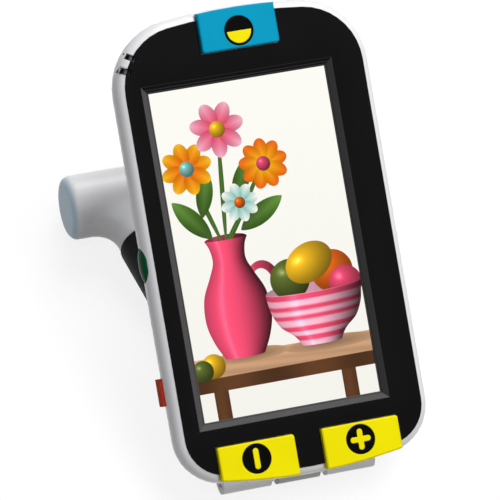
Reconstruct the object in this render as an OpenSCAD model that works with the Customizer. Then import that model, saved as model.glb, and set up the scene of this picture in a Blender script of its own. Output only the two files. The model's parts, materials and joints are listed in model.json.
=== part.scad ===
// Handheld video magnifier with a fold-out grip handle, millimetres.
// Device frame: x to the right of the screen, y up the screen, z out of the screen with the panel face at 0.

/* [Body] */
// Width of the body across the short side
body_w = 77.2; // [74:0.2:82]
// Length of the body along the long side
body_l = 138; // [136:0.2:142]
// Thickness from the panel face to the flat back
body_t = 17; // [16:0.5:22]
// Corner radius at the contrast key end
top_corner_r = 20.2; // [17:0.2:23]
// Corner radius at the zoom key end
low_corner_r = 14.2; // [12:0.2:18]
// Radius of the bowed short ends
end_bow_r = 170; // [120:5:400]
// Depth of the widest line of the side wall
wide_depth = 5; // [4:0.5:7]
// Inset of the rounded front rim
rim_round = 3.2; // [2.6:0.1:3.2]
// Depth of the seam between frame and rear cover
seam_depth = 12.8; // [12.5:0.1:13.5]
// Wall thickness of the rear cover
wall_t = 2; // [1.6:0.1:2.6]
// Inset of the inner face of the frame
frame_inset = 4.2; // [3.6:0.1:4.6]

/* [Panel and display] */
// Inset of the dark panel from the outline
panel_inset = 2.5; // [2.5:0.1:3]
// Thickness of the dark panel
panel_t = 1.6; // [1.2:0.1:2]
// Visible screen width
view_w = 53.9; // [48:0.1:58]
// Visible screen length
view_l = 96.4; // [90:0.1:104]
// Lap of the panel over the screen edges
view_lap = 1.5; // [1:0.1:2]
// Width of the sloped border round the screen
bevel_w = 2; // [1:0.1:3]
// Depth of the sloped border
bevel_depth = 1.1; // [0.5:0.1:1.5]
// Sideways offset of the screen from the body centre
view_x = -2.4; // [-4:0.1:0]
// Lengthwise offset of the screen from the body centre
view_y = -0.7; // [-2:0.1:2]
// Thickness of the clear screen cover
cover_t = 1; // [0.7:0.1:1.2]
// Thickness of the display panel
lcd_t = 3.4; // [2.6:0.1:4]
// Floor thickness of the display tray
tray_floor = 0.6; // [0.4:0.1:1.2]
// Side wall thickness of the display tray
tray_wall = 1.6; // [1:0.1:2.5]

/* [Keys] */
// Width of each front key
key_w = 23.4; // [18:0.2:26]
// Reach of a front key from the end of the body
key_reach = 12.6; // [11:0.2:14]
// Gap between the two zoom keys
zoom_gap = 8.4; // [5:0.2:12]
// Height of a front key above the panel
key_rise = 1.6; // [0.8:0.1:2.2]
// Skirt of a front key below the panel face
key_skirt = 1.4; // [1:0.1:2]
// Press travel of the front keys
key_travel = 0.8; // [0.4:0.1:1.2]
// Gap round a front key
key_gap = 0.3; // [0.2:0.05:0.6]
// Thickness of the key shelf
shelf_t = 2; // [1.5:0.1:3]
// Radius of the key stem
stem_r = 2; // [1.5:0.1:2.5]
// Radial running clearance of stems and round buttons
run_gap = 0.06; // [0.02:0.01:0.1]
// Distance of the key stems from the body centre
stem_y = 59.5; // [58:0.1:61]
// Icon disc radius on the front keys
icon_r = 4.4; // [3.6:0.05:4.8]
// Shift of the icons towards the screen
icon_in = 1.3; // [0.6:0.1:1.8]
// Sideways shift of the icons on the zoom keys
icon_side = -0.55; // [-1:0.05:1]
// Reach of the front keys past the end of the body, below zero where they stop short of it
key_over = -0.55; // [-1:0.05:0.5]
// Corner radius of the front keys
key_corner_r = 0.8; // [0.4:0.1:2]
// Easing of the upper edges of the front keys
key_ease = 0.35; // [0.2:0.05:0.8]
// Depth of the icon inlays
icon_t = 0.5; // [0.3:0.1:0.8]

/* [Side buttons and sockets] */
// Depth of the side buttons and sockets
side_z = 8.2; // [8:0.1:8.6]
// Lengthwise place of the freeze button
freeze_y = -1; // [-6:0.2:8]
// Depth of the freeze button's middle line below the panel face
freeze_z = 6.2; // [6.2:0.1:8]
// Radius of the round ends of the freeze button
freeze_r = 4; // [3:0.1:4.2]
// Length of the straight part of the freeze button
freeze_run = 2.4; // [1:0.1:4]
// Depth of the eased edge of the freeze button
freeze_ease = 0.7; // [0.3:0.1:1]
// Lengthwise place of the power button
power_y = -38.2; // [-42:0.2:-28]
// Length of the power button
power_l = 8; // [6:0.2:10]
// Height of the power button
power_h = 4.4; // [3:0.2:6]
// Reach of the side buttons beyond the widest line
side_proud = 0.7; // [0.6:0.1:1.6]
// Reach of the freeze button beyond the widest line
freeze_proud = 0.5; // [0.4:0.1:1.5]
// Press travel of the side buttons
side_travel = 0.7; // [0.4:0.1:0.9]
// Lengthwise place of the supply socket
supply_y = -32; // [-38:0.5:-26]
// Lengthwise place of the video socket
video_y = -16; // [-20:0.5:-8]
// Bore radius of the supply socket
supply_bore_r = 1.75; // [1.2:0.05:2.2]
// Bore radius of the video socket
video_bore_r = 1.8; // [1.2:0.05:2.2]
// Collar radius of the sockets
socket_r = 3; // [2.6:0.1:3.4]
// Depth of the socket bores
socket_depth = 9; // [6:0.5:10]

/* [Handle] */
// Height of the hinge line below the body centre
hinge_y = -67; // [-68:0.1:-66]
// Depth of the hinge line behind the panel face
hinge_depth = 17.8; // [17.6:0.1:19]
// Radius of the hinge knuckles
knuckle_r = 4; // [3.6:0.1:4.4]
// Half length of the middle knuckle
knuckle_in = 6.5; // [5:0.1:9]
// Outer end of the hinge row from the centre
knuckle_out = 23.4; // [20:0.1:28]
// Space for the friction washer beside the middle knuckle
washer_gap = 2; // [1:0.1:2.5]
// Radius of the hinge pin
hinge_pin_r = 2; // [1.5:0.1:2.4]
// Angle that the handle stands open in the photo
open_angle = 26.8; // [10:0.2:40]
// Hinge line to grip bar centre along the arm
arm_l = 101.4; // [94:0.1:104]
// Thickness of the arm sleeve
arm_t = 17; // [15:0.1:18]
// Arm half width at the hinge end
arm_w0 = 23.6; // [20:0.2:26]
// Arm half width before the flare
arm_w1 = 25; // [22:0.2:27]
// Arm half width at the end of the sleeve
arm_w2 = 29.5; // [27:0.1:30.5]
// Start of the sleeve from the hinge line
sleeve_y0 = 9.5; // [9:0.1:14]
// Length over which the sleeve widens
flare_l = 23.4; // [16:0.2:30]
// Sleeve end to grip bar centre
neck_l = 14.9; // [13.5:0.1:17]
// Widening of the white neck where it meets the grip bar
neck_flare = 7.8; // [5:0.1:8.4]
// Thickness of the arm sleeve at the hinge end
arm_t0 = 5; // [4.6:0.1:5.4]
// Length over which the sleeve grows to its full thickness
taper_l = 71.5; // [71:0.5:74]
// Lean of the seam between the sleeve and the white neck
seam_lean = 16.7; // [0:0.1:20]
// Step from the sleeve down to the white neck
sleeve_step = 0.3; // [0.1:0.05:0.5]
// Space between the closed arm and the flat back
arm_gap = 0.6; // [0.4:0.1:1.5]
// Half width of the inner arm tongue
tongue_w = 19; // [14:0.2:22]
// Thickness of the inner arm tongue
tongue_t = 2.8; // [2:0.1:3]
// Sleeve skin over the inner tongue
sleeve_wall = 1.4; // [1:0.1:1.6]
// Radius of the grip bar
grip_r = 9.75; // [8:0.05:11]
// Half length of the grip bar with its caps
grip_half = 42; // [36:0.2:48]
// Wall of the grip bar shells
grip_wall = 1.9; // [1.4:0.1:2.5]
// Thickness of the grip end caps
cap_t = 3; // [2.8:0.1:4]
// Height of the rest pads below the grip bar
pad_h = 0.8; // [0.4:0.1:1.5]
// Length of a rest pad along the grip bar
pad_w = 10; // [6:0.5:14]
// Width of a rest pad across the grip bar
pad_l = 8; // [5:0.5:10]
// Rest pad centre from the end of the shells
pad_in = 10; // [8:0.5:14]
// Depth of the seats that hold the rest pads
pad_seat = 1.05; // [0.9:0.05:1.4]
// Grip screws from the middle of the bar
grip_screw_x = 20; // [14:0.5:24]
// Depth of the grip screws' heads under the skin of the bar
grip_sink = 2.55; // [1.5:0.05:3]
// Length of the grip screws
grip_screw_l = 10; // [9:0.2:11]
// Radius of the screw posts inside the grip bar
post_r = 2.8; // [2.2:0.1:3.4]
// Rounding of the end cap edges
cap_round = 2.6; // [0.8:0.1:2.7]
// Reach of the end cap plugs into the bar
cap_plug = 5; // [3:0.5:8]

/* [Inside] */
// Width of the main board
board_w = 44; // [36:1:50]
// Length of the main board
board_l = 124; // [112:1:126]
// Thickness of the main board
board_t = 1.2; // [0.8:0.1:1.6]
// Width of the shield can
shield_w = 26; // [18:1:34]
// Length of the shield can
shield_l = 24; // [16:1:28]
// Height of the shield can
shield_h = 2; // [1:0.1:2.6]
// Lengthwise place of the shield can
shield_y = 20; // [19:0.5:24]
// Width of the battery pack
battery_w = 40; // [30:1:46]
// Length of the battery pack
battery_l = 52; // [40:1:53]
// Thickness of the battery pack
battery_t = 5.4; // [4:0.1:6]
// Lengthwise place of the battery pack
battery_y = -20; // [-23:0.5:-19]
// Lengthwise place of the camera
cam_y = 50; // [48.5:0.1:50.5]
// Width of the camera window
window_w = 34; // [30:0.5:40]
// Height of the camera window
window_h = 12; // [10:0.2:13]
// Thickness of the camera window
window_t = 1.2; // [0.8:0.1:1.5]
// Sideways place of the lamps
led_x = 11; // [9:0.2:13]
// Radius of the lamps
led_r = 2.5; // [1.8:0.1:3]
// Height of the lamps with the seat behind them
led_h = 5; // [4:0.1:6]
// Outer radius of the lens barrel
barrel_r = 4.2; // [3.6:0.1:4.4]
// Radius of the lens
lens_r = 3; // [2.4:0.1:3.4]
// Thickness of the lens
lens_t = 2.4; // [1.6:0.1:3]
// Half height of the camera holder
holder_h = 5; // [4.8:0.1:5]
// Side of the image sensor
sensor_w = 10; // [7:0.5:10]
// Thickness of the image sensor
sensor_t = 0.8; // [0.5:0.1:1]
// Side of a switch body
switch_w = 5; // [4:0.1:5]
// Radius of a switch plunger
plunger_r = 1.6; // [1:0.1:2]
// Side board behind the inner face of the frame
side_board_in = 2.4; // [2:0.1:3]
// Thickness of the side board
side_board_t = 1; // [0.8:0.1:1.4]
// Depth of the lower edge of the side board
side_board_low = 12.4; // [12:0.1:12.6]
// Radius of the screw shanks
screw_r = 1; // [0.8:0.05:1.2]
// Radius of the screw heads
screw_head_r = 1.9; // [1.6:0.05:2.2]
// Height of the screw heads
screw_head_h = 1.2; // [0.8:0.1:1.4]
// Thread length of the case screws above the seam
screw_bite = 5; // [3:0.5:6]
// Case screws from the outline at the corners
screw_in = 6.9; // [6.8:0.1:7.4]
// Direction of the case screws from the corner centres
screw_turn = 33; // [28:1:40]
// Radius of the screw bosses in the frame
boss_r = 3; // [2.6:0.1:3.2]
// Depth of the case screw head seats
head_low = 14.6; // [14.4:0.1:14.8]
// Strap pin from the outline
strap_pin_in = 2.8; // [2.6:0.1:3.2]
// Radius of the strap pin
strap_pin_r = 0.9; // [0.6:0.05:1]
// Length of the strap pin
strap_pin_l = 8.6; // [7:0.1:10]
// Width of the strap slots
strap_w = 1.8; // [1.2:0.1:2.4]
// Length of the strap slots across the rim
strap_l = 2.9; // [2.2:0.1:3.2]
// Inner end of the strap slots from the outline
strap_in = 3.7; // [3.4:0.1:4.2]
// Play between the display tray and the frame
tray_gap = 0.05; // [0.02:0.01:0.08]

/* [Hidden] */
$fn = 48;
half_w = body_w / 2;
half_l = body_l / 2;
back_r = body_t - wide_depth;
inner_r = back_r - wall_t;
seam_a = asin((seam_depth - wide_depth) / back_r);
inner_a = asin((seam_depth - wide_depth) / inner_r);
rim_high = wide_depth - 0.3;
shelf_top = key_skirt + key_travel + 0.2;
stem_end = shelf_top + shelf_t + 1;
cover_z = panel_t + cover_t;
lcd_z = cover_z + lcd_t;
tray_z = lcd_z + tray_floor;
board_z = tray_z + board_t;
side_board_x = half_w - frame_inset - side_board_in;
front_face = hinge_depth - body_t - arm_gap;
tongue_top = front_face - sleeve_wall;
sleeve_y2 = arm_l - neck_l;
sleeve_y1 = sleeve_y2 - flare_l;
taper_y = sleeve_y0 + taper_l;
bar_z = front_face - grip_r;
bar_in = grip_r - grip_wall;
grip_screw_top = grip_screw_l + grip_sink - grip_r;
shell_half = grip_half - cap_t;
bar_dy = arm_l * cos(open_angle) + bar_z * sin(open_angle);
bar_dd = arm_l * sin(open_angle) - bar_z * cos(open_angle);
bar_reach = sqrt(bar_dy * bar_dy + bar_dd * bar_dd);
tilt = atan2(bar_dd, bar_dy) + asin((grip_r + pad_h - knuckle_r) / bar_reach);
pad_turn = tilt - open_angle;
lift = knuckle_r - hinge_y * sin(tilt) + hinge_depth * cos(tilt);
back_y = (hinge_y + bar_dy) * cos(tilt) + (hinge_depth + bar_dd) * sin(tilt) + grip_r;
fore_y = -(half_l + key_over) * cos(tilt) - (key_rise - key_ease) * sin(tilt);
shift = -(back_y + fore_y) / 2;
screw_at = [for (r = [top_corner_r, low_corner_r], s = [-1, 1]) let (e = r == top_corner_r ? 1 : -1)
    [s * (corner_x(r) + (r - screw_in) * cos(screw_turn)), e * (corner_y(r) + (r - screw_in) * sin(screw_turn))]];
strap_a = [142.7, 156.2];

// Centre height of a corner whose arc meets the bowed end smoothly.
function corner_x(r) = half_w - r;
function bow_y() = half_l - end_bow_r;
function corner_y(r) = bow_y() + sqrt(pow(end_bow_r - r, 2) - pow(corner_x(r), 2));
function join_a(r) = atan2(corner_y(r) - bow_y(), corner_x(r));
function arc(cx, cy, r, a0, a1, n) = [for (i = [0 : n]) let (a = a0 + (a1 - a0) * i / n) [cx + r * cos(a), cy + r * sin(a)]];
function bow(r, a0, a1, cy, n) = [for (i = [1 : n - 1]) let (a = a0 + (a1 - a0) * i / n) [r * cos(a), cy + r * sin(a)]];
function outline(d) = let (t = top_corner_r, l = low_corner_r, at = join_a(t), al = join_a(l)) concat(
    arc(corner_x(t), corner_y(t), t - d, 0, at, 9),
    bow(end_bow_r - d, at, 180 - at, bow_y(), 6),
    arc(-corner_x(t), corner_y(t), t - d, 180 - at, 180, 9),
    arc(-corner_x(l), -corner_y(l), l - d, 180, 180 + al, 9),
    bow(end_bow_r - d, 180 + al, 360 - al, -bow_y(), 6),
    arc(corner_x(l), -corner_y(l), l - d, 360 - al, 360, 9));
function window_plan() = plate(window_w, window_h, window_h / 2 - 0.1);
function plate(w, h, r) = concat(arc(w / 2 - r, h / 2 - r, r, 0, 90, 5), arc(r - w / 2, h / 2 - r, r, 90, 180, 5),
    arc(r - w / 2, r - h / 2, r, 180, 270, 5), arc(w / 2 - r, r - h / 2, r, 270, 360, 5));

// Skin through rings given as [inset, height], lowest first.
module loft(rings) {
    n = len(outline(0));
    m = len(rings);
    pts = [for (g = rings) for (p = outline(g[0])) [p[0], p[1], g[1]]];
    sides = [for (j = [0 : m - 2]) for (i = [0 : n - 1]) let (k = (i + 1) % n)
        each [[j * n + i, (j + 1) * n + i, (j + 1) * n + k], [j * n + i, (j + 1) * n + k, j * n + k]]];
    polyhedron(pts, concat(sides, [[for (i = [0 : n - 1]) i]], [[for (i = [n - 1 : -1 : 0]) (m - 1) * n + i]]));
}

module placed() {
    translate([0, shift, lift])
        rotate([tilt, 0, 0])
            children();
}

module on_handle() {
    placed()
        translate([0, hinge_y, -hinge_depth])
            rotate([-open_angle, 0, 0])
                children();
}

module bar_frame() {
    on_handle()
        translate([0, arm_l, bar_z])
            children();
}

module along_x(x0, x1, r) {
    translate([x0, 0, 0])
        rotate([0, 90, 0])
            cylinder(h = x1 - x0, r = r);
}

module box(x0, x1, y0, y1, z0, z1) {
    translate([x0, y0, z0])
        cube([x1 - x0, y1 - y0, z1 - z0]);
}

module strap_slots() {
    for (a = strap_a)
        translate([-corner_x(top_corner_r), corner_y(top_corner_r), -4.6])
            rotate([0, 0, a])
                translate([top_corner_r - strap_in, -strap_w / 2, 0])
                    cube([strap_l, strap_w, 8]);
}

module rear_cover() {
    color([0.93, 0.93, 0.94]) placed() {
        difference() {
            union() {
                difference() {
                    loft([for (i = [7 : -1 : 0]) let (a = seam_a + (90 - seam_a) * i / 7)
                        [back_r * (1 - cos(a)), -wide_depth - back_r * sin(a)]]);
                    loft(concat([for (i = [6 : -1 : 0]) let (a = inner_a + (90 - inner_a) * i / 6)
                        [back_r - inner_r * cos(a), -wide_depth - inner_r * sin(a)]],
                        [[back_r - inner_r * cos(inner_a), 1 - seam_depth]]));
                }
                for (s = [-1, 1])
                    translate([s > 0 ? knuckle_in + washer_gap : -knuckle_out, 0, 0])
                        lug(knuckle_out - knuckle_in - washer_gap);
            }
            translate([0, hinge_y, -hinge_depth])
                along_x(-knuckle_out - 1, knuckle_out + 1, hinge_pin_r);
            for (p = screw_at) {
                translate([p[0], p[1], -body_t - 1])
                    cylinder(h = body_t + 1 - head_low, r = screw_head_r);
                translate([p[0], p[1], -head_low - 1])
                    cylinder(h = head_low, r = screw_r);
            }
            translate([0, cam_y, -body_t - 1])
                linear_extrude(window_t + 1)
                    polygon(window_plan());
            translate([0, cam_y, -body_t])
                cylinder(h = wall_t + 1, r = barrel_r + 0.4);
            for (s = [-1, 1])
                translate([s * led_x, cam_y, -body_t])
                    cylinder(h = wall_t + 1, r = led_r);
        }
    }
}

module lug(len) {
    k = knuckle_r;
    translate([0, hinge_y, -hinge_depth])
        along_x(0, len, knuckle_r);
    rotate([90, 0, 90])
        linear_extrude(len)
            polygon([[hinge_y - knuckle_r + 0.05, k / 8 - hinge_depth], [hinge_y + 0.3 * k, -seam_depth - 0.2],
                [hinge_y + 0.8 * k, -seam_depth - 0.2], [hinge_y + 1.5 * k, -seam_depth - 0.5 * k],
                [hinge_y + 2.5 * k, -seam_depth - 0.85 * k], [hinge_y + 0.75 * k, -hinge_depth - 0.65 * k]]);
}

module front_frame() {
    color([0.93, 0.93, 0.94]) placed() {
        difference() {
            union() {
                difference() {
                    loft(concat([for (i = [0 : 3]) let (a = seam_a * (1 - i / 3))
                        [back_r * (1 - cos(a)), -wide_depth - back_r * sin(a)]],
                        [for (b = [16 : 15 : 76]) [rim_round * (1 - cos(b)), -wide_depth + rim_high * sin(b)]]));
                    translate([0, 0, -panel_t])
                        linear_extrude(4)
                            polygon(outline(panel_inset - 0.1));
                    translate([0, 0, -seam_depth - 1])
                        linear_extrude(seam_depth)
                            polygon(outline(frame_inset));
                }
                translate([0, 0, -shelf_top - shelf_t])
                    linear_extrude(shelf_t)
                        intersection() {
                            polygon(outline(1.5));
                            union() {
                                translate([-key_w / 2 - 2, stem_y - 5])
                                    square([key_w + 4, 20]);
                                translate([-key_w - zoom_gap / 2 - 2, -stem_y - 15])
                                    square([2 * key_w + zoom_gap + 4, 20]);
                            }
                        }
                for (p = screw_at)
                    translate([p[0], p[1], -seam_depth])
                        cylinder(h = seam_depth - shelf_top - shelf_t + 0.4, r = boss_r);
            }
            key_wells();
            translate([0, stem_y, -8])
                cylinder(h = 8, r = stem_r + run_gap);
            for (s = [-1, 1])
                translate([s * (key_w + zoom_gap) / 2, -stem_y, -8])
                    cylinder(h = 8, r = stem_r + run_gap);
            translate([0, freeze_y, -freeze_z])
                slot_x(-half_w - 2, -half_w + frame_inset + 1, freeze_r + run_gap);
            box(-half_w - 2, -half_w + frame_inset + 1, power_y - power_l / 2 - 0.15, power_y + power_l / 2 + 0.15,
                -side_z - power_h / 2 - 0.15, -side_z + power_h / 2 + 0.15);
            for (y = [supply_y, video_y])
                translate([0, y, -side_z])
                    along_x(half_w - frame_inset - 1, half_w + 2, socket_r);
            for (p = screw_at)
                translate([p[0], p[1], -seam_depth - 1])
                    cylinder(h = screw_bite + 1, r = screw_r);
            translate([view_x, view_y, -tray_z - tray_gap])
                linear_extrude(tray_z + tray_gap - panel_t)
                    square([tray_w() + 2 * tray_gap, tray_l() + 2 * tray_gap], center = true);
            box(-board_w / 2 - tray_gap, board_w / 2 + tray_gap, -board_l / 2 - tray_gap, board_l / 2 + tray_gap,
                -board_z - tray_gap, -tray_z);
            strap_slots();
            strap_tunnel(1.6, 1.2, -3.6, 6);
            strap_tunnel(strap_pin_in, strap_pin_r, -2.7, strap_pin_l + 0.4);
        }
    }
}

// Round passage along the rim behind the bridge between the two strap slots.
module strap_tunnel(in, r, z, l) {
    translate([-corner_x(top_corner_r), corner_y(top_corner_r), z])
        rotate([0, 0, (strap_a[0] + strap_a[1]) / 2])
            translate([top_corner_r - in, l / 2, 0])
                rotate([90, 0, 0])
                    cylinder(h = l, r = r);
}

module key_wells() {
    z = shelf_top;
    box(-key_w / 2 - key_gap, key_w / 2 + key_gap, half_l - key_reach - key_gap, half_l + 4, -z, 4);
    for (s = [-1, 1])
        translate([s * (key_w + zoom_gap) / 2, 0, 0])
            box(-key_w / 2 - key_gap, key_w / 2 + key_gap, -half_l - 4, -half_l + key_reach + key_gap, -z, 4);
}

module front_panel() {
    color([0.03, 0.03, 0.035]) placed() {
        difference() {
            translate([0, 0, -panel_t])
                linear_extrude(panel_t)
                    polygon(outline(panel_inset));
            translate([view_x, view_y, -panel_t - 1])
                linear_extrude(panel_t + 2)
                    square([view_w, view_l], center = true);
            translate([view_x, view_y, 0])
                bevel_cut();
            key_wells();
            strap_slots();
        }
    }
}

module bevel_cut() {
    a = [view_w / 2, view_l / 2, -bevel_depth];
    b = [view_w / 2 + bevel_w, view_l / 2 + bevel_w, 0];
    c = [b[0], b[1], 1];
    q = [for (g = [a, b, c]) each [[-g[0], -g[1], g[2]], [g[0], -g[1], g[2]], [g[0], g[1], g[2]], [-g[0], g[1], g[2]]]];
    ring = [for (j = [0, 4]) for (i = [0 : 3]) [j + i, j + 4 + i, j + 4 + (i + 1) % 4, j + (i + 1) % 4]];
    polyhedron(q, concat(ring, [[0, 1, 2, 3], [11, 10, 9, 8]]));
}

module display_cover() {
    color([0.6, 0.65, 0.7, 0.4]) placed()
        translate([view_x, view_y, -cover_z])
            linear_extrude(cover_t)
                square([lcd_w(), lcd_l()], center = true);
}

module display_panel() {
    color([0.9, 0.88, 0.84]) placed()
        translate([view_x, view_y, -lcd_z])
            linear_extrude(lcd_t)
                square([lcd_w(), lcd_l()], center = true);
}

function lcd_w() = view_w + 2 * view_lap;
function lcd_l() = view_l + 2 * view_lap;
function tray_w() = lcd_w() + 2 * tray_wall;
function tray_l() = lcd_l() + 2 * tray_wall;

module display_tray() {
    color([0.6, 0.61, 0.63]) placed()
        translate([view_x, view_y, -tray_z])
            difference() {
                linear_extrude(tray_z - panel_t)
                    square([tray_w(), tray_l()], center = true);
                translate([0, 0, tray_floor])
                    linear_extrude(tray_z)
                        square([lcd_w(), lcd_l()], center = true);
            }
}

module main_board() {
    color([0.05, 0.32, 0.16]) placed()
        box(-board_w / 2, board_w / 2, -board_l / 2, board_l / 2, -board_z, -tray_z);
}

module shield_can() {
    color([0.72, 0.73, 0.75]) placed()
        translate([0, shield_y, -board_z - shield_h])
            box(-shield_w / 2, shield_w / 2, -shield_l / 2, shield_l / 2, 0, shield_h);
}

module battery_pack() {
    color([0.25, 0.4, 0.62]) placed()
        translate([0, battery_y, -body_t + wall_t])
            linear_extrude(battery_t)
                polygon(plate(battery_w, battery_l, 2));
}

module camera_holder() {
    color([0.06, 0.06, 0.06]) placed()
        difference() {
            box(-window_w / 2, window_w / 2, cam_y - holder_h, cam_y + holder_h, -body_t + wall_t, -board_z - sensor_t);
            translate([0, cam_y, -body_t])
                cylinder(h = body_t, r = barrel_r);
            for (s = [-1, 1])
                translate([s * led_x, cam_y, -body_t])
                    cylinder(h = led_h, r = led_r);
        }
}

module camera_barrel() {
    color([0.15, 0.15, 0.16]) placed()
        translate([0, cam_y, -body_t + window_t])
            difference() {
                cylinder(h = body_t - window_t - board_z - sensor_t, r = barrel_r);
                translate([0, 0, -1])
                    cylinder(h = body_t, r = lens_r);
            }
}

module camera_lens() {
    color([0.3, 0.35, 0.5, 0.6]) placed()
        translate([0, cam_y, -body_t + window_t + 1])
            cylinder(h = lens_t, r = lens_r);
}

module image_sensor() {
    color([0.1, 0.1, 0.12]) placed()
        translate([0, cam_y, -board_z - sensor_t])
            box(-sensor_w / 2, sensor_w / 2, -sensor_w / 2, sensor_w / 2, 0, sensor_t);
}

module camera_window() {
    color([0.5, 0.55, 0.6, 0.4]) placed()
        translate([0, cam_y, -body_t])
            linear_extrude(window_t)
                polygon(window_plan());
}

module led_lamps() {
    color([1, 0.97, 0.8]) placed()
        for (s = [-1, 1])
            translate([s * led_x, cam_y, -body_t + window_t])
                cylinder(h = led_h - window_t, r = led_r);
}

module key_switches() {
    color([0.2, 0.2, 0.2]) placed()
        for (p = [[0, stem_y], [(key_w + zoom_gap) / 2, -stem_y], [-(key_w + zoom_gap) / 2, -stem_y]])
            translate([p[0], p[1], -tray_z])
                switch_unit(tray_z - stem_end - key_travel - 0.05);
}

module switch_unit(h) {
    translate([-switch_w / 2, -switch_w / 2, 0])
        cube([switch_w, switch_w, h * 0.6]);
    cylinder(h = h, r = plunger_r);
}

module side_board() {
    color([0.05, 0.32, 0.16]) placed()
        box(-side_board_x, side_board_t - side_board_x, power_y - 6, freeze_y + 6, -side_board_low, -tray_z);
}

module side_switches() {
    color([0.2, 0.2, 0.2]) placed()
        for (y = [power_y, freeze_y])
            translate([-side_board_x, y, -side_z - 1])
                rotate([0, -90, 0])
                    switch_unit(side_board_in + 0.55 - side_travel);
}

module strap_pin() {
    color([0.55, 0.55, 0.57]) placed()
        strap_tunnel(strap_pin_in, strap_pin_r, -2.7, strap_pin_l);
}

module socket(y, r) {
    color([0.08, 0.08, 0.09]) placed()
        translate([0, y, -side_z])
            difference() {
                union() {
                    along_x(half_w - frame_inset, half_w - 0.9, socket_r);
                    box(half_w - frame_inset - socket_depth, half_w - frame_inset, -4.5, 4.5, -3.5, side_z - tray_z);
                }
                along_x(half_w - 0.9 - socket_depth, half_w, r);
            }
}

module supply_socket() {
    socket(supply_y, supply_bore_r);
}

module video_socket() {
    socket(video_y, video_bore_r);
}

module case_screws() {
    color([0.6, 0.6, 0.62]) placed()
        for (p = screw_at) {
            translate([p[0], p[1], -head_low - screw_head_h])
                cylinder(h = screw_head_h, r = screw_head_r);
            translate([p[0], p[1], -head_low])
                cylinder(h = head_low - seam_depth + screw_bite, r = screw_r);
        }
}

module hinge_pin() {
    color([0.7, 0.7, 0.72]) placed()
        translate([0, hinge_y, -hinge_depth])
            along_x(-knuckle_out + 0.4, knuckle_out - 0.4, hinge_pin_r);
}

module hinge_washers() {
    color([0.5, 0.5, 0.52]) placed()
        translate([0, hinge_y, -hinge_depth])
            for (s = [-1, 1])
                translate([s * (knuckle_in + 0.1 + (washer_gap - 0.1) / 2), 0, 0])
                    difference() {
                        along_x(-(washer_gap - 0.1) / 2, (washer_gap - 0.1) / 2, hinge_pin_r + 0.9);
                        along_x(-washer_gap, washer_gap, hinge_pin_r);
                    }
}

// One front key: plan trimmed to the outline, top edge eased, stem below.
module key_form(cx, cy, sy) {
    difference() {
        union() {
            hull() {
                translate([0, 0, -key_skirt])
                    linear_extrude(key_skirt + key_rise - key_ease)
                        key_plan(cx, cy, 0);
                translate([0, 0, key_rise - 0.1])
                    linear_extrude(0.1)
                        key_plan(cx, cy, key_ease);
            }
            translate([cx, sy, -stem_end])
                cylinder(h = stem_end, r = stem_r);
        }
        translate([cx + (cx == 0 ? 0 : icon_side), cy - sign(cy) * icon_in, key_rise - icon_t])
            cylinder(h = icon_t + 1, r = icon_r);
    }
}

module key_plan(cx, cy, in) {
    intersection() {
        polygon(outline(in - key_over));
        translate([cx, cy + sign(cy)])
            polygon(plate(key_w - 2 * in, key_reach + 2 - 2 * in, key_corner_r));
    }
}

function key_cy(s) = s * (half_l - key_reach / 2);
function icon_cy(s) = key_cy(s) - s * icon_in;
function zoom_cx(s) = s * (key_w + zoom_gap) / 2;

module contrast_key() {
    color([0.05, 0.55, 0.78]) placed()
        key_form(0, key_cy(1), stem_y);
}

module contrast_icon_light() {
    color([0.98, 0.88, 0.15]) placed()
        translate([0, icon_cy(1), key_rise - icon_t])
            linear_extrude(icon_t)
                intersection() {
                    circle(icon_r - 0.75);
                    translate([-icon_r, -2 * icon_r])
                        square(2 * icon_r);
                }
}

module contrast_icon_dark() {
    color([0.04, 0.04, 0.05]) placed()
        translate([0, icon_cy(1), key_rise - icon_t])
            linear_extrude(icon_t)
                difference() {
                    circle(icon_r);
                    intersection() {
                        circle(icon_r - 0.75);
                        translate([-icon_r, -2 * icon_r])
                            square(2 * icon_r);
                    }
                }
}

module zoom_out_key() {
    color([0.97, 0.88, 0.05]) placed()
        key_form(zoom_cx(-1), key_cy(-1), -stem_y);
}

module zoom_in_key() {
    color([0.97, 0.88, 0.05]) placed()
        key_form(zoom_cx(1), key_cy(-1), -stem_y);
}

module minus_plan() {
    polygon(plate(1.7, 6.2, 0.8));
}

module plus_plan() {
    polygon(plate(1.7, 6.2, 0.8));
    polygon(plate(6.2, 1.7, 0.8));
}

module zoom_out_disc() {
    color([0.04, 0.04, 0.05]) placed()
        translate([zoom_cx(-1) + icon_side, icon_cy(-1), key_rise - icon_t])
            linear_extrude(icon_t)
                difference() {
                    circle(icon_r);
                    minus_plan();
                }
}

module zoom_out_mark() {
    color([0.97, 0.88, 0.05]) placed()
        translate([zoom_cx(-1) + icon_side, icon_cy(-1), key_rise - icon_t])
            linear_extrude(icon_t)
                minus_plan();
}

module zoom_in_disc() {
    color([0.04, 0.04, 0.05]) placed()
        translate([zoom_cx(1) + icon_side, icon_cy(-1), key_rise - icon_t])
            linear_extrude(icon_t)
                difference() {
                    circle(icon_r);
                    plus_plan();
                }
}

module zoom_in_mark() {
    color([0.97, 0.88, 0.05]) placed()
        translate([zoom_cx(1) + icon_side, icon_cy(-1), key_rise - icon_t])
            linear_extrude(icon_t)
                plus_plan();
}

module power_button() {
    color([0.8, 0.1, 0.05]) placed()
        box(-half_w - side_proud, -half_w + frame_inset - 0.6, power_y - power_l / 2, power_y + power_l / 2,
            -side_z - power_h / 2, -side_z + power_h / 2);
}

// Bar along x with round ends, as long as the freeze button.
module slot_x(x0, x1, r) {
    for (s = [-1, 1])
        translate([0, s * freeze_run / 2, 0])
            along_x(x0, x1, r);
    box(x0, x1, -freeze_run / 2, freeze_run / 2, -r, r);
}

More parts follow.
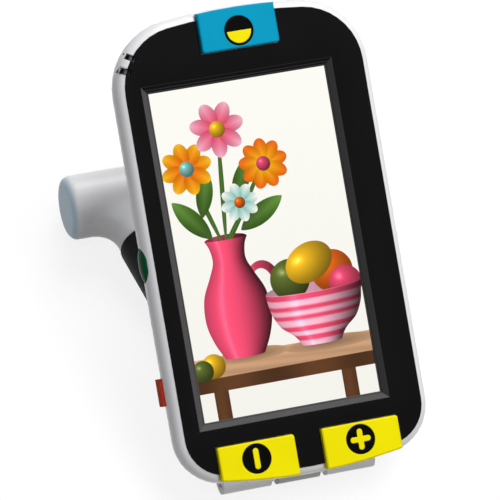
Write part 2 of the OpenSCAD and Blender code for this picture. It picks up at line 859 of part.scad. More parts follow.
module freeze_button() {
    face = -half_w - freeze_proud;
    color([0.03, 0.4, 0.2]) placed()
        translate([0, freeze_y, -freeze_z]) {
            slot_x(face + freeze_ease, -half_w + frame_inset - 0.6, freeze_r);
            hull()
                for (s = [-1, 1])
                    translate([face, s * freeze_run / 2, 0])
                        rotate([0, 90, 0])
                            cylinder(h = freeze_ease, r1 = freeze_r - 2 * freeze_ease, r2 = freeze_r, $fn = 32);
        }
}

// Rounded bar across the arm at one place along it, a step inside the full thickness.
// Its upper edge is at that place, and the rest leans towards the hinge.
module arm_rib(y, w, step, lean) {
    r = arm_t / 2 - step;
    for (s = [-1, 1])
        translate([s * (w - r), y - r * tan(lean), front_face - arm_t / 2])
            rotate([90 - lean, 0, 0])
                cylinder(h = 0.02, r = r, center = true, $fn = 32);
}

// Space of the inner tongue between two places along the arm.
module tongue(w, y0, y1) {
    box(-w, w, y0, y1, tongue_top - tongue_t, tongue_top);
}

module handle_arm() {
    color([0.8, 0.8, 0.81]) on_handle()
        difference() {
            union() {
                along_x(-knuckle_in, knuckle_in, knuckle_r);
                tongue(knuckle_in - 0.4, 0, sleeve_y0 + 2);
                tongue(tongue_w, sleeve_y0, arm_l - grip_r - 1);
            }
            along_x(-knuckle_in - 1, knuckle_in + 1, hinge_pin_r + run_gap);
        }
}

module grip_sleeve() {
    color([0.05, 0.05, 0.055]) on_handle()
        difference() {
            union() {
                hull() {
                    arm_rib(sleeve_y0, arm_w0, 0, 0);
                    arm_rib(sleeve_y1, arm_w1, 0, 0);
                }
                hull() {
                    arm_rib(sleeve_y1, arm_w1, 0, 0);
                    arm_rib(sleeve_y2, arm_w2, 0, seam_lean);
                }
            }
            tongue(tongue_w, 0, arm_l);
            sleeve_taper();
        }
}

// Cut that thins the sleeve towards the hinge, so that it stays clear of what the part stands on.
module sleeve_taper() {
    slope = (arm_t - arm_t0) / taper_l;
    low = front_face - arm_t - 2 * slope;
    rotate([90, 0, 90])
        linear_extrude(2 * arm_w2, center = true)
            polygon([[sleeve_y0 - 1, front_face - arm_t0 + slope], [taper_y + 2, low], [sleeve_y0 - 1, low]]);
}

// Places along the white neck as [distance from the hinge line, half width, lean].
neck_run = neck_l - bar_in + 1.4;
neck = [for (i = [0 : 5]) let (t = i / 5)
    [sleeve_y2 + 0.03 + neck_run * t, arm_w2 - sleeve_step + min(neck_flare, shell_half - arm_w2) * pow(t, 1.75), seam_lean * (1 - t)]];

module grip_front() {
    color([0.93, 0.93, 0.94]) on_handle()
        difference() {
            union() {
                for (i = [0 : len(neck) - 2])
                    hull() {
                        arm_rib(neck[i][0], neck[i][1], sleeve_step, neck[i][2]);
                        arm_rib(neck[i + 1][0], neck[i + 1][1], sleeve_step, neck[i + 1][2]);
                    }
                translate([0, arm_l, bar_z])
                    difference() {
                        along_x(-shell_half, shell_half, grip_r);
                        box(-grip_half, grip_half, -20, 20, -20, 0);
                    }
            }
            translate([0, arm_l, bar_z])
                difference() {
                    along_x(-shell_half - 1, shell_half + 1, bar_in);
                    for (s = [-1, 1])
                        translate([s * grip_screw_x, 0, 0])
                            cylinder(h = 20, r = post_r);
                }
            translate([0, arm_l, bar_z])
                difference() {
                    along_x(-grip_half, grip_half, grip_r + 0.05);
                    box(-grip_half - 1, grip_half + 1, -20, 20, 0, 20);
                }
            tongue(tongue_w, 0, arm_l - grip_r - 1);
            for (s = [-1, 1])
                translate([s * grip_screw_x, arm_l, bar_z - 1])
                    cylinder(h = grip_screw_top + 3.2, r = screw_r);
        }
}

module pad_block(lo, hi) {
    for (s = [-1, 1])
        rotate([-pad_turn, 0, 0])
            translate([s * (shell_half - pad_in), 0, 0])
                box(-pad_w / 2, pad_w / 2, -pad_l / 2, pad_l / 2, -lo, -hi);
}

module grip_rear() {
    color([0.93, 0.93, 0.94]) bar_frame()
        difference() {
            along_x(-shell_half, shell_half, grip_r);
            box(-grip_half, grip_half, -20, 20, 0, 20);
            difference() {
                along_x(-shell_half - 1, shell_half + 1, bar_in);
                for (s = [-1, 1])
                    translate([s * grip_screw_x, 0, -20])
                        cylinder(h = 20, r = post_r);
            }
            for (s = [-1, 1])
                translate([s * grip_screw_x, 0, -2 * grip_r]) {
                    cylinder(h = 2 * grip_r + 1, r = screw_r);
                    cylinder(h = grip_r + grip_sink + screw_head_h, r = screw_head_r);
                }
            pad_block(2 * grip_r, grip_r - pad_seat);
        }
}

module grip_end_caps() {
    color([0.86, 0.88, 0.91]) bar_frame()
        for (s = [-1, 1])
            rotate([0, 90 * s, 0])
                translate([0, 0, shell_half])
                    rotate_extrude()
                        union() {
                            square([grip_r, cap_t - cap_round]);
                            square([grip_r - cap_round, cap_t]);
                            translate([0, -cap_plug])
                                square([bar_in, cap_plug + 1]);
                            translate([grip_r - cap_round, cap_t - cap_round])
                                intersection() {
                                    circle(cap_round);
                                    square(cap_round);
                                }
                        }
}

module grip_screws() {
    color([0.6, 0.6, 0.62]) bar_frame()
        for (s = [-1, 1])
            translate([s * grip_screw_x, 0, grip_sink - grip_r]) {
                cylinder(h = screw_head_h, r = screw_head_r);
                cylinder(h = grip_screw_l, r = screw_r);
            }
}

module rest_pads() {
    color([0.12, 0.12, 0.12]) bar_frame()
        pad_block(grip_r + pad_h, grip_r - pad_seat);
}

rear_cover();
front_frame();
front_panel();
display_cover();
display_panel();
display_tray();
main_board();
shield_can();
battery_pack();
camera_holder();
camera_barrel();
camera_lens();
image_sensor();
camera_window();
led_lamps();
key_switches();
side_board();
side_switches();
strap_pin();
supply_socket();
video_socket();
case_screws();
hinge_pin();
hinge_washers();
contrast_key();
contrast_icon_dark();
contrast_icon_light();
zoom_out_key();
zoom_out_disc();
zoom_out_mark();
zoom_in_key();
zoom_in_disc();
zoom_in_mark();
power_button();
freeze_button();
handle_arm();
grip_sleeve();
grip_front();
grip_rear();
grip_end_caps();
grip_screws();
rest_pads();
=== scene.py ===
"""Looks of the handheld video magnifier, dressed over its solids. Metres, in the frame of the part."""
import json
import math

import bmesh
import bpy
from mathutils import Matrix, Vector
from mathutils.bvhtree import BVHTree


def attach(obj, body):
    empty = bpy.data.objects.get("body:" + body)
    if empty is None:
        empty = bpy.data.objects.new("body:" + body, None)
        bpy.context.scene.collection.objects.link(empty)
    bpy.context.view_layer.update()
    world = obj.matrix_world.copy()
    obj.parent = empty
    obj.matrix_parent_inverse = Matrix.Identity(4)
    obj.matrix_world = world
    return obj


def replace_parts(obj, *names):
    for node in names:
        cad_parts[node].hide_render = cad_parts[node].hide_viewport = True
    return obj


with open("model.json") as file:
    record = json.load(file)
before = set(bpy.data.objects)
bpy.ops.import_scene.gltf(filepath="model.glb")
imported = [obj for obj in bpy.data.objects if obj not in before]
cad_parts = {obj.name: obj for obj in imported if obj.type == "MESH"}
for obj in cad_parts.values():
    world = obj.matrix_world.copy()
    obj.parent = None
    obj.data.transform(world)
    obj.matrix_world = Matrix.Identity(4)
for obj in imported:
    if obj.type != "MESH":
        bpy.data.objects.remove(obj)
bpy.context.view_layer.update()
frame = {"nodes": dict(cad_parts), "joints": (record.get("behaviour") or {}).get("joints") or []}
nodes = frame["nodes"]
joints = {joint["name"]: joint for joint in frame["joints"]}
MM = 0.001

# Axes of the tilted body: right and up across the screen, and out of it
RIGHT = Vector((1, 0, 0))
OUT = -Vector(joints["contrast_press"]["axis"]).normalized()
UP = OUT.cross(RIGHT)

# Axes of the desk, and of the handle: out of its upper face, and along it from the bar to the hinge
BACK = Vector((0, 1, 0))
HIGH = Vector((0, 0, 1))
HANDLE_SLOPE = math.radians(9.068)
HANDLE_UP = Vector((0, -math.sin(HANDLE_SLOPE), math.cos(HANDLE_SLOPE)))
HANDLE_IN = Vector((0, -math.cos(HANDLE_SLOPE), -math.sin(HANDLE_SLOPE)))


def span(node, axis):
    """Lowest and highest place of a node along an axis."""
    reach = [vertex.co.dot(axis) for vertex in nodes[node].data.vertices]
    return min(reach), max(reach)


def middle(node, axis):
    """Place half way along a node."""
    low, high = span(node, axis)
    return (low + high) / 2


def half_span(node, axis):
    """Half of a node's length along an axis."""
    low, high = span(node, axis)
    return (high - low) / 2


def at(x, y, z):
    """Point given along the axes of the body."""
    return RIGHT * x + UP * y + OUT * z


# Places taken from the solids: front of the panel, middle of the front, and the grip bar
FACE = span("front_panel", OUT)[1]
TARGET = at(0, (middle("contrast_key", UP) + middle("zoom_in_key", UP)) / 2, FACE)
BAR = BACK * middle("grip_end_caps", BACK) + HIGH * middle("grip_end_caps", HIGH)
BAR_RADIUS = half_span("grip_end_caps", BACK)
BAR_REACH = span("grip_rear", RIGHT)[1]

# Meshes: welding distance, shortest edge kept, same-level distance, and the angle in degrees of a crisp edge
WELD_GAP = 0.002 * MM
SLIVER = 0.0005 * MM
LEVEL_GAP = 0.01 * MM
CREASE = 32
TINY = 1e-9

# Screen border: lap over the glass, width, depth, rounded outer edge, inner toe and foot of its slope
SCREEN_LAP = 1.5 * MM
BEVEL_W = 2.0 * MM
BEVEL_DEPTH = 1.1 * MM
BEVEL_ROUND = 0.15 * MM
BEVEL_DROP = 0.02 * MM
BEVEL_FOOT = 0.3 * MM
FOOT_RISE = 0.16 * MM
BEVEL_TOE = 0.06 * MM
TOE_RISE = 0.12 * MM
TRIM_SEAT = 0.01 * MM
TRIM_PROUD = 0.06 * MM
# Steps of the border's upper side: share of its width, and rise over its slope in millimetres
TOP_STEPS = ((0.0, -0.1), (0.0, 0.0), (0.12, 0.02), (0.3, -0.16), (0.42, -0.16), (0.46, 0.04), (0.52, 0.04),
             (0.6, -0.16), (0.8, -0.14), (0.9, 0.02), (1.0, 0.03))

# Seams: half width, share of it on top, height over the skin and depth in it, then the grip bar's finer one
SEAM_HALF = 0.17 * MM
SEAM_TOP = 0.7
SEAM_PROUD = 0.03 * MM
SEAM_DEPTH = 0.1 * MM
GRIP_SEAM_HALF = 0.6 * SEAM_HALF
GRIP_SEAM_TOP = 0.6
GRIP_SEAM_PROUD = 0.012 * MM
GRIP_SEAM_DEPTH = 0.08 * MM

# Screws: cross recess as shares of the head, domed head, thread and points
RECESS_DEPTH = 0.75
RECESS_ARM = 0.52
RECESS_HALF = 0.15
RECESS_TURNS = (25, 35, 45, 55, 65)
RECESS_FLOOR = 0.9
RECESS_LIP = 0.05 * MM
RECESS_WIDTHS = (0.7, 0.96, 1.06)
HEAD_STEPS = (0.72, 0.84, 0.93, 0.98, 1.0)
HEAD_DOME = 0.6
HEAD_CURVE = 0.8
THREAD_PITCH = 0.5 * MM
THREAD_ROOT = 0.8
RECESS_POINT = 0.01 * MM
SCREW_TIP = 0.05 * MM
TIP_DEPTH = 0.02 * MM

# Domed button: rise, steps over the dome and round it, and the smallest ring's share
DOME_RISE = 1.3 * MM
DOME_STEPS = 8
DOME_SIDES = 40
DOME_POINT = 0.01

# Pads: cells along a side, grooves and their depth, start and rounding of the edge, and bow of the sides
PAD_CELLS = 28
PAD_GROOVES = 7
PAD_GROOVE = 0.18 * MM
PAD_EDGE = 0.86
PAD_SOFT = 0.45 * MM
PAD_BOW = 0.09

# Strap slots: turn to either side of the pin in degrees, width, play, corner radius, depth of the pin in the
# rim, and the wall as (depth in the rim, height over the panel) in millimetres
SLOT_TURN = 6.75
SLOT_W = 1.8 * MM
SLOT_PLAY = 0.03 * MM
SLOT_RIM = 20.2 * MM
SLOT_PIN_IN = 2.8 * MM
SLOT_WALL = ((3.67, -4.57), (0.83, -4.57), (0.83, -1.98), (0.98, -1.67), (1.65, -0.94), (2.43, -0.5),
             (2.5, -0.06), (3.67, -0.06))

# Grip: cell of its skin, rounds of smoothing, lap and steps of the parting, depth that counts as the bar, and
# where the smoothing sets in or fades: away from the sleeve, toward the neck and toward the bar's ends
GRIP_CELL = 0.5 * MM
GRIP_ROUNDS = 1600
GRIP_EASE = 80
GRIP_FACTOR = 0.5
GRIP_LAP = 0.2 * MM
GRIP_STEPS = 24
BAR_SKIN = 0.4 * MM
SLEEVE_FADE = (0.4 * MM, 7 * MM)
NECK_FADE = (-8 * MM, 1 * MM)
END_FADE = (30 * MM, 38 * MM)
ZONE = 80 * MM

# Viewing angle and framing of the photograph, in degrees, metres and pixels
VIEW_AZIMUTH = -26.445
VIEW_ELEVATION = 51.676
VIEW_ROLL = 11.405
VIEW_DISTANCE = 1.4
VIEW_END = 20
FOCAL_PX = 4831.7
IMAGE_PX = 500
AIM_PX = (23.285, -10.394)
SENSOR_MM = 36

# Light: surroundings, floor, and the lamps with their place, watts and colour
WORLD_LIGHT = 0.13
FLOOR_CLEAR = 0.83
FLOOR_TINT = 0.2
FLOOR_SIZE = 8
LAMP_SIZE = 0.6
LAMPS = {
    "key": ((0.22, -0.15, 1.05), 7.3, (1.0, 1.0, 1.0)),
    "top": ((0.3, 0.75, 0.85), 6.0, (1.0, 1.0, 1.0)),
    "fill": ((-0.45, -0.5, 0.85), 1.5, (0.97, 0.985, 1.0)),
    "front": ((0.35, -0.95, 0.35), 2.4, (1.0, 0.97, 0.95)),
}

# Grain of the finishes: size of clouds, smears, grain and pebbles, spread of the gloss, wear along edges as
# the cosines of the turn where it starts and where it is full, and radii of the softened edges
NOISE_ROUGH = 0.55
CLOUD = 14 * MM
SMEAR = 5 * MM
GRAIN = 0.35 * MM
FINE_GRAIN = 0.2 * MM
GRAIN_DEPTH = 0.25
GRAIN_RELIEF = 0.12
CAP_GRAIN_DEPTH = 0.09 * MM
# Where the painted cool shade on the grip bar's ends starts, as a share of the end cap's reach
CAP_SHADE_START = 0.2
RUBBER_CLOUD = 9 * MM
PEBBLE = 0.8 * MM
PEBBLE_DEPTH = 0.1 * MM
PEBBLE_RELIEF = 0.25
RUBBER_GLOSS = (0.62, 0.48)
WIPE = 6 * MM
WIPE_GLOSS = (0.04, 0.14)
PICTURE_GRAIN = 0.5 * MM
GLOSS_SPREAD = (0.8, 1.2)
RAMP_ENDS = (0.3, 0.7)
WEAR_START = 0.985
WEAR_FULL = 0.86
WEAR_GAIN = 1.4
EDGE_SAMPLES = 6
SHARP_EDGE = 0.05 * MM
SOFT_EDGE = 0.25 * MM
SHELL_EDGE = 0.35 * MM
KEY_EDGE = 0.4 * MM
BUTTON_EDGE = 0.5 * MM
RUBBER_EDGE = 0.4 * MM

# Sockets of the colour mix node
MIX_A = 6
MIX_B = 7
MIX_RESULT = 2

# Colours as they look on a screen
WHITE = (0.90, 0.90, 0.91)
GRIP_WHITE = (0.965, 0.965, 0.97)
# Bluish, darker tone of the grip bar's ends: painted cool shade on white plastic
CAP_PAINTED_COOL_SHADE = (0.78, 0.88, 0.95)
PANEL_BLACK = (0.042, 0.04, 0.041)
BEVEL_GREY = (0.275, 0.27, 0.272)
# Darker copies of the border's grey for its right side and its upper side: painted shade
BEVEL_SIDE_PAINTED_SHADE = (0.16, 0.157, 0.16)
BEVEL_TOP_PAINTED_SHADE = (0.13, 0.125, 0.13)
KEY_BLUE = (0.0, 0.592, 0.742)
KEY_YELLOW = (0.945, 0.892, 0.0)
ICON_BLACK = (0.02, 0.02, 0.022)
BUTTON_RED = (0.87, 0.26, 0.145)
BUTTON_GREEN = (0.06, 0.34, 0.20)
# Dark sheet inside the strap slots: painted shade over their white walls
SLOT_PAINTED_SHADE = (0.22, 0.20, 0.22)
RUBBER_BLACK = (0.035, 0.043, 0.053)
PAD_BLACK = (0.10, 0.10, 0.10)
# Light grey plastic of the handle arm, darkened with painted shade for the middle hinge knuckle under the
# body
ARM_GREY_PAINTED_SHADE = (0.70, 0.69, 0.672)
STEEL = (0.66, 0.66, 0.68)
PIN_DARK = (0.30, 0.28, 0.30)
SEAM_GREY = (0.42, 0.42, 0.43)
PLASTIC_DARK = (0.13, 0.13, 0.14)
SCREEN_DARK = (0.08, 0.08, 0.09)
TRAY_METAL = (0.62, 0.63, 0.65)
BOARD_GREEN = (0.10, 0.36, 0.20)
BATTERY_BLUE = (0.30, 0.44, 0.64)
LAMP_CREAM = (0.99, 0.96, 0.82)
CLEAR = (1.0, 1.0, 1.0)
SMOKED = (0.62, 0.66, 0.70)

# Colours of the picture on the screen, and its layers, bench and bow of turned forms
CREAM = (1.0, 0.995, 0.965)
PINK = (0.93, 0.30, 0.44)
ROSE = (0.97, 0.72, 0.80)
ORANGE = (0.95, 0.42, 0.10)
YELLOW = (0.98, 0.76, 0.14)
OLIVE = (0.38, 0.44, 0.18)
BROWN = (0.40, 0.25, 0.15)
SAND = (0.87, 0.68, 0.52)
TEAL = (0.52, 0.80, 0.76)
LEAF = (0.32, 0.46, 0.20)
LAYER = 0.004 * MM
BENCH_TOP = -30
BENCH_EDGE = -36
BENCH_FOOT = -40
TURNED_BOW = 0.08


def linear(colour):
    """Colour as it looks, turned into light."""
    return tuple(c / 12.92 if c <= 0.04045 else ((c + 0.055) / 1.055) ** 2.4 for c in colour)


def rgba(colour, gain=1.0):
    """Four-value colour for a socket, with its brightness scaled."""
    return (*[min(1.0, c * gain) for c in linear(colour)], 1.0)


class Graph:
    """Small helper that adds and links the nodes of one material."""

    def __init__(self, name):
        self.material = bpy.data.materials.new(name)
        self.material.use_nodes = True
        self.tree = self.material.node_tree
        self.shader = self.tree.nodes["Principled BSDF"]
        self.output = self.tree.nodes["Material Output"]
        self.place = self.tree.nodes.new("ShaderNodeTexCoord").outputs["Object"]
        self.soft = None

    def add(self, kind, **inputs):
        """New node with values on its sockets."""
        node = self.tree.nodes.new(kind)
        for name, value in inputs.items():
            node.inputs[name.replace("_", " ")].default_value = value
        return node

    def link(self, source, target):
        """Joins two sockets."""
        self.tree.links.new(source, target)

    def noise(self, size, detail):
        """Noise whose grains are about the given size in metres."""
        node = self.add("ShaderNodeTexNoise", Scale=1 / size, Detail=detail, Roughness=NOISE_ROUGH)
        self.link(self.place, node.inputs["Vector"])
        return node.outputs["Fac"]

    def ramp(self, source, low, high):
        """Colour that runs from low to high with a factor."""
        node = self.add("ShaderNodeValToRGB")
        for element, position, colour in zip(node.color_ramp.elements, RAMP_ENDS, (low, high)):
            element.position = position
            element.color = colour
        self.link(source, node.inputs["Fac"])
        return node.outputs["Color"]

    def spread(self, source, low, high):
        """Factor moved into a range of values."""
        node = self.add("ShaderNodeMapRange", To_Min=low, To_Max=high)
        self.link(source, node.inputs["Value"])
        return node.outputs["Result"]

    def gloss(self, rough):
        """Uneven roughness in smears, which are given back."""
        smears = self.noise(SMEAR, detail=5.0)
        low, high = (rough * share for share in GLOSS_SPREAD)
        self.link(self.spread(smears, low, high), self.shader.inputs["Roughness"])
        return smears

    def bump(self, source, strength, depth, edge):
        """Relief from a factor, over edges rounded by the given radius."""
        node = self.add("ShaderNodeBump", Strength=strength, Distance=depth)
        self.link(source, node.inputs["Height"])
        self.soft = self.add("ShaderNodeBevel", Radius=edge)
        self.soft.samples = EDGE_SAMPLES
        self.link(self.soft.outputs["Normal"], node.inputs["Normal"])
        self.link(node.outputs["Normal"], self.shader.inputs["Normal"])

    def worn(self, colour, rubbed, patches):
        """Colour that turns to a rubbed tone along the edges, more in some patches than in others."""
        turn = self.add("ShaderNodeVectorMath")
        turn.operation = "DOT_PRODUCT"
        self.link(self.soft.outputs["Normal"], turn.inputs[0])
        self.link(self.add("ShaderNodeNewGeometry").outputs["Normal"], turn.inputs[1])
        edge = self.add("ShaderNodeMapRange", From_Min=WEAR_START, From_Max=WEAR_FULL)
        self.link(turn.outputs["Value"], edge.inputs["Value"])
        share = self.add("ShaderNodeMath")
        share.operation = "MULTIPLY"
        self.link(edge.outputs["Result"], share.inputs[0])
        self.link(self.spread(patches, 0.0, WEAR_GAIN), share.inputs[1])
        blend = self.add("ShaderNodeMix")
        blend.data_type = "RGBA"
        self.link(share.outputs["Value"], blend.inputs["Factor"])
        self.link(colour, blend.inputs[MIX_A])
        blend.inputs[MIX_B].default_value = rubbed
        return blend.outputs[MIX_RESULT]


def moulded(name, colour, rough, grain=GRAIN, relief=GRAIN_RELIEF, vary=0.05, edge=SOFT_EDGE, rub=1.0,
            **sockets):
    """Moulded plastic or metal: cloudy tone, uneven gloss, fine grain, and soft edges with a rubbed tone."""
    graph = Graph(name)
    clouds = graph.noise(CLOUD, detail=4.0)
    tint = graph.ramp(clouds, rgba(colour, 1 - vary), rgba(colour, 1 + vary))
    smears = graph.gloss(rough)
    graph.bump(graph.noise(grain, detail=2.0), relief, grain * GRAIN_DEPTH, edge)
    if rub != 1:
        tint = graph.worn(tint, rgba(colour, rub), smears)
    graph.link(tint, graph.shader.inputs["Base Color"])
    for socket, value in sockets.items():
        graph.shader.inputs[socket.replace("_", " ")].default_value = value
    return graph.material


def end_painted_shade(name, colour, end, rough):
    """White plastic with painted cool shade, bluer and darker, over the last few millimetres of the grip bar.
    """
    graph = Graph(name)
    spot = graph.add("ShaderNodeSeparateXYZ")
    graph.link(graph.place, spot.inputs["Vector"])
    away = graph.add("ShaderNodeMath")
    away.operation = "ABSOLUTE"
    graph.link(spot.outputs["X"], away.inputs[0])
    high = span("grip_end_caps", RIGHT)[1]
    start = BAR_REACH + CAP_SHADE_START * (high - BAR_REACH)
    reach = graph.add("ShaderNodeMapRange", From_Min=start, From_Max=high)
    graph.link(away.outputs["Value"], reach.inputs["Value"])
    tint = graph.ramp(reach.outputs["Result"], rgba(colour), rgba(end))
    graph.link(tint, graph.shader.inputs["Base Color"])
    graph.gloss(rough)
    graph.bump(graph.noise(GRAIN, detail=2.0), GRAIN_RELIEF, CAP_GRAIN_DEPTH, SHARP_EDGE)
    return graph.material


def pebbled_rubber(name, colour):
    """Soft black overmould with a pebbled skin."""
    graph = Graph(name)
    clouds = graph.noise(RUBBER_CLOUD, detail=4.0)
    tint = graph.ramp(clouds, rgba(colour, 0.85), rgba(colour, 1.15))
    pebbles = graph.add("ShaderNodeTexVoronoi", Scale=1 / PEBBLE)
    graph.link(graph.place, pebbles.inputs["Vector"])
    graph.link(graph.spread(pebbles.outputs["Distance"], *RUBBER_GLOSS), graph.shader.inputs["Roughness"])
    graph.bump(pebbles.outputs["Distance"], PEBBLE_RELIEF, PEBBLE_DEPTH, RUBBER_EDGE)
    graph.link(graph.worn(tint, rgba(colour, 1.8), clouds), graph.shader.inputs["Base Color"])
    graph.shader.inputs["Specular IOR Level"].default_value = 0.1
    return graph.material


def clear_cover(name, tint, gloss):
    """Thin clear sheet: what lies behind shows through, with a faint gloss and fine wipe marks."""
    graph = Graph(name)
    through = graph.add("ShaderNodeBsdfTransparent", Color=rgba(tint))
    shine = graph.add("ShaderNodeBsdfGlossy", Color=rgba(CLEAR))
    graph.link(graph.spread(graph.noise(WIPE, detail=6.0), *WIPE_GLOSS), shine.inputs["Roughness"])
    rim = graph.add("ShaderNodeFresnel", IOR=gloss)
    mix = graph.add("ShaderNodeMixShader")
    graph.link(rim.outputs["Fac"], mix.inputs["Fac"])
    graph.link(through.outputs["BSDF"], mix.inputs[1])
    graph.link(shine.outputs["BSDF"], mix.inputs[2])
    graph.link(mix.outputs["Shader"], graph.output.inputs["Surface"])
    return graph.material


def lit_picture(name):
    """Back-lit picture: the colour painted on each point, with a trace of grain, gives its own light."""
    graph = Graph(name)
    paint = graph.add("ShaderNodeVertexColor")
    paint.layer_name = "paint"
    grain = graph.ramp(graph.noise(PICTURE_GRAIN, detail=2.0), (0.975, 0.975, 0.975, 1), (1, 1, 1, 1))
    blend = graph.add("ShaderNodeMix")
    blend.data_type = "RGBA"
    blend.blend_type = "MULTIPLY"
    blend.inputs["Factor"].default_value = 1.0
    graph.link(paint.outputs["Color"], blend.inputs[MIX_A])
    graph.link(grain, blend.inputs[MIX_B])
    graph.link(blend.outputs[MIX_RESULT], graph.shader.inputs["Emission Color"])
    graph.shader.inputs["Emission Strength"].default_value = 1.0
    graph.shader.inputs["Base Color"].default_value = (0, 0, 0, 1)
    graph.shader.inputs["Specular IOR Level"].default_value = 0.0
    return graph.material


MOULDED = {
    "white_shell": dict(colour=WHITE, rough=0.32, vary=0.02, edge=SHELL_EDGE, rub=0.9),
    "grip_white": dict(colour=GRIP_WHITE, rough=0.36, vary=0.02, edge=SHARP_EDGE),
    "panel_black": dict(colour=PANEL_BLACK, rough=0.42, relief=0.1, vary=0.12, rub=2.5,
                        Specular_IOR_Level=0.03),
    "bevel_grey": dict(colour=BEVEL_GREY, rough=0.42, relief=0.15, vary=0.06, Specular_IOR_Level=0.15),
    # Right and upper sides of the screen border: the border's grey darkened with painted shade
    "bevel_shade": dict(colour=BEVEL_SIDE_PAINTED_SHADE, rough=0.45, relief=0.15, vary=0.06, Specular_IOR_Level=0.12),
    "bevel_dark": dict(colour=BEVEL_TOP_PAINTED_SHADE, rough=0.45, relief=0.15, vary=0.06, Specular_IOR_Level=0.12),
    "key_blue": dict(colour=KEY_BLUE, rough=0.4, vary=0.04, edge=KEY_EDGE, rub=0.75, Specular_IOR_Level=0.04),
    "key_yellow": dict(colour=KEY_YELLOW, rough=0.42, vary=0.03, edge=KEY_EDGE, rub=0.8,
                       Specular_IOR_Level=0.05),
    "icon_black": dict(colour=ICON_BLACK, rough=0.45, vary=0.1, Specular_IOR_Level=0.02),
    "button_red": dict(colour=BUTTON_RED, rough=0.42, vary=0.08, edge=BUTTON_EDGE, rub=0.8, IOR=1.04),
    "button_green": dict(colour=BUTTON_GREEN, rough=0.22, vary=0.1, edge=BUTTON_EDGE, IOR=1.06),
    # Handle arm: its grey darkened with painted shade
    "arm_grey": dict(colour=ARM_GREY_PAINTED_SHADE, rough=0.4, vary=0.04, rub=0.85),
    # Strap slots: dark sheet of painted shade
    "slot_painted_shade": dict(colour=SLOT_PAINTED_SHADE, rough=0.6, vary=0.1, Specular_IOR_Level=0.1),
    "steel": dict(colour=STEEL, rough=0.3, grain=FINE_GRAIN, vary=0.08, rub=0.7, Metallic=1.0),
    "pin_dark": dict(colour=PIN_DARK, rough=0.38, grain=FINE_GRAIN, vary=0.1, Metallic=0.5),
    "dark_plastic": dict(colour=PLASTIC_DARK, rough=0.5, vary=0.1),
    "screen": dict(colour=SCREEN_DARK, rough=0.3),
    "tray_metal": dict(colour=TRAY_METAL, rough=0.35, Metallic=1.0),
    "board_green": dict(colour=BOARD_GREEN, rough=0.45, vary=0.15),
    "battery_wrap": dict(colour=BATTERY_BLUE, rough=0.35, vary=0.05),
    "lamp": dict(colour=LAMP_CREAM, rough=0.2, vary=0.02),
    "seam_grey": dict(colour=SEAM_GREY, rough=0.6),
}
materials = {name: moulded(name, **finish) for name, finish in MOULDED.items()}
# The grip bar's end caps: white plastic with painted cool shade toward their ends
materials["cap_white"] = end_painted_shade("cap_white", GRIP_WHITE, CAP_PAINTED_COOL_SHADE, 0.4)
materials["grip_black"] = pebbled_rubber("grip_black", RUBBER_BLACK)
materials["pad_black"] = pebbled_rubber("pad_black", PAD_BLACK)
materials["screen_cover"] = clear_cover("screen_cover", CLEAR, 1.12)
materials["window_glass"] = clear_cover("window_glass", SMOKED, 1.4)
materials["picture"] = lit_picture("picture")

NODE_LOOKS = {
    "white_shell": ["rear_cover", "front_frame"],
    "grip_white": ["grip_front", "grip_rear"],
    "cap_white": ["grip_end_caps"],
    "panel_black": ["front_panel"],
    "screen_cover": ["display_cover"],
    "window_glass": ["camera_window", "camera_lens"],
    "screen": ["display_panel"],
    "tray_metal": ["display_tray", "shield_can"],
    "board_green": ["main_board", "side_board"],
    "battery_wrap": ["battery_pack"],
    "dark_plastic": ["camera_holder", "camera_barrel", "image_sensor", "key_switches", "side_switches",
                     "supply_socket", "video_socket"],
    "lamp": ["led_lamps"],
    "pin_dark": ["strap_pin"],
    "steel": ["case_screws", "hinge_pin", "hinge_washers", "grip_screws"],
    "key_blue": ["contrast_key"],
    "key_yellow": ["contrast_icon_light", "zoom_out_key", "zoom_in_key", "zoom_out_mark", "zoom_in_mark"],
    "icon_black": ["contrast_icon_dark", "zoom_out_disc", "zoom_in_disc"],
    "button_red": ["power_button"],
    "button_green": ["freeze_button"],
    "arm_grey": ["handle_arm"],
    "grip_black": ["grip_sleeve"],
    "pad_black": ["rest_pads"],
}


def soft_shading():
    """Node group that welds a mesh and shades it smooth, with edges over the crease angle kept crisp."""
    group = bpy.data.node_groups.new("soft_shading", "GeometryNodeTree")
    group.interface.new_socket("Geometry", in_out="INPUT", socket_type="NodeSocketGeometry")
    group.interface.new_socket("Geometry", in_out="OUTPUT", socket_type="NodeSocketGeometry")
    add = group.nodes.new
    weld = add("GeometryNodeMergeByDistance")
    weld.inputs["Distance"].default_value = WELD_GAP
    plain = add("GeometryNodeRemoveAttribute")
    plain.inputs["Name"].default_value = "custom_normal"
    faces = add("GeometryNodeSetShadeSmooth")
    edges = add("GeometryNodeSetShadeSmooth")
    edges.domain = "EDGE"
    edges.inputs["Shade Smooth"].default_value = False
    crease = add("GeometryNodeInputMeshEdgeAngle")
    sharp = add("FunctionNodeCompare")
    sharp.operation = "GREATER_THAN"
    sharp.inputs["B"].default_value = math.radians(CREASE)
    link = group.links.new
    link(add("NodeGroupInput").outputs["Geometry"], weld.inputs["Geometry"])
    link(weld.outputs["Geometry"], plain.inputs["Geometry"])
    link(plain.outputs["Geometry"], faces.inputs["Geometry"])
    link(faces.outputs["Geometry"], edges.inputs["Geometry"])
    link(crease.outputs["Unsigned Angle"], sharp.inputs["A"])
    link(sharp.outputs["Result"], edges.inputs["Selection"])
    link(edges.outputs["Geometry"], add("NodeGroupOutput").inputs["Geometry"])
    return group


def dress_nodes():
    """Gives every solid its finish and smooth shading."""
    shading = soft_shading()
    for look, names in NODE_LOOKS.items():
        for name in names:
            solid = nodes[name]
            solid.data.materials.clear()
            solid.data.materials.append(materials[look])
            solid.modifiers.new("shading", "NODES").node_group = shading


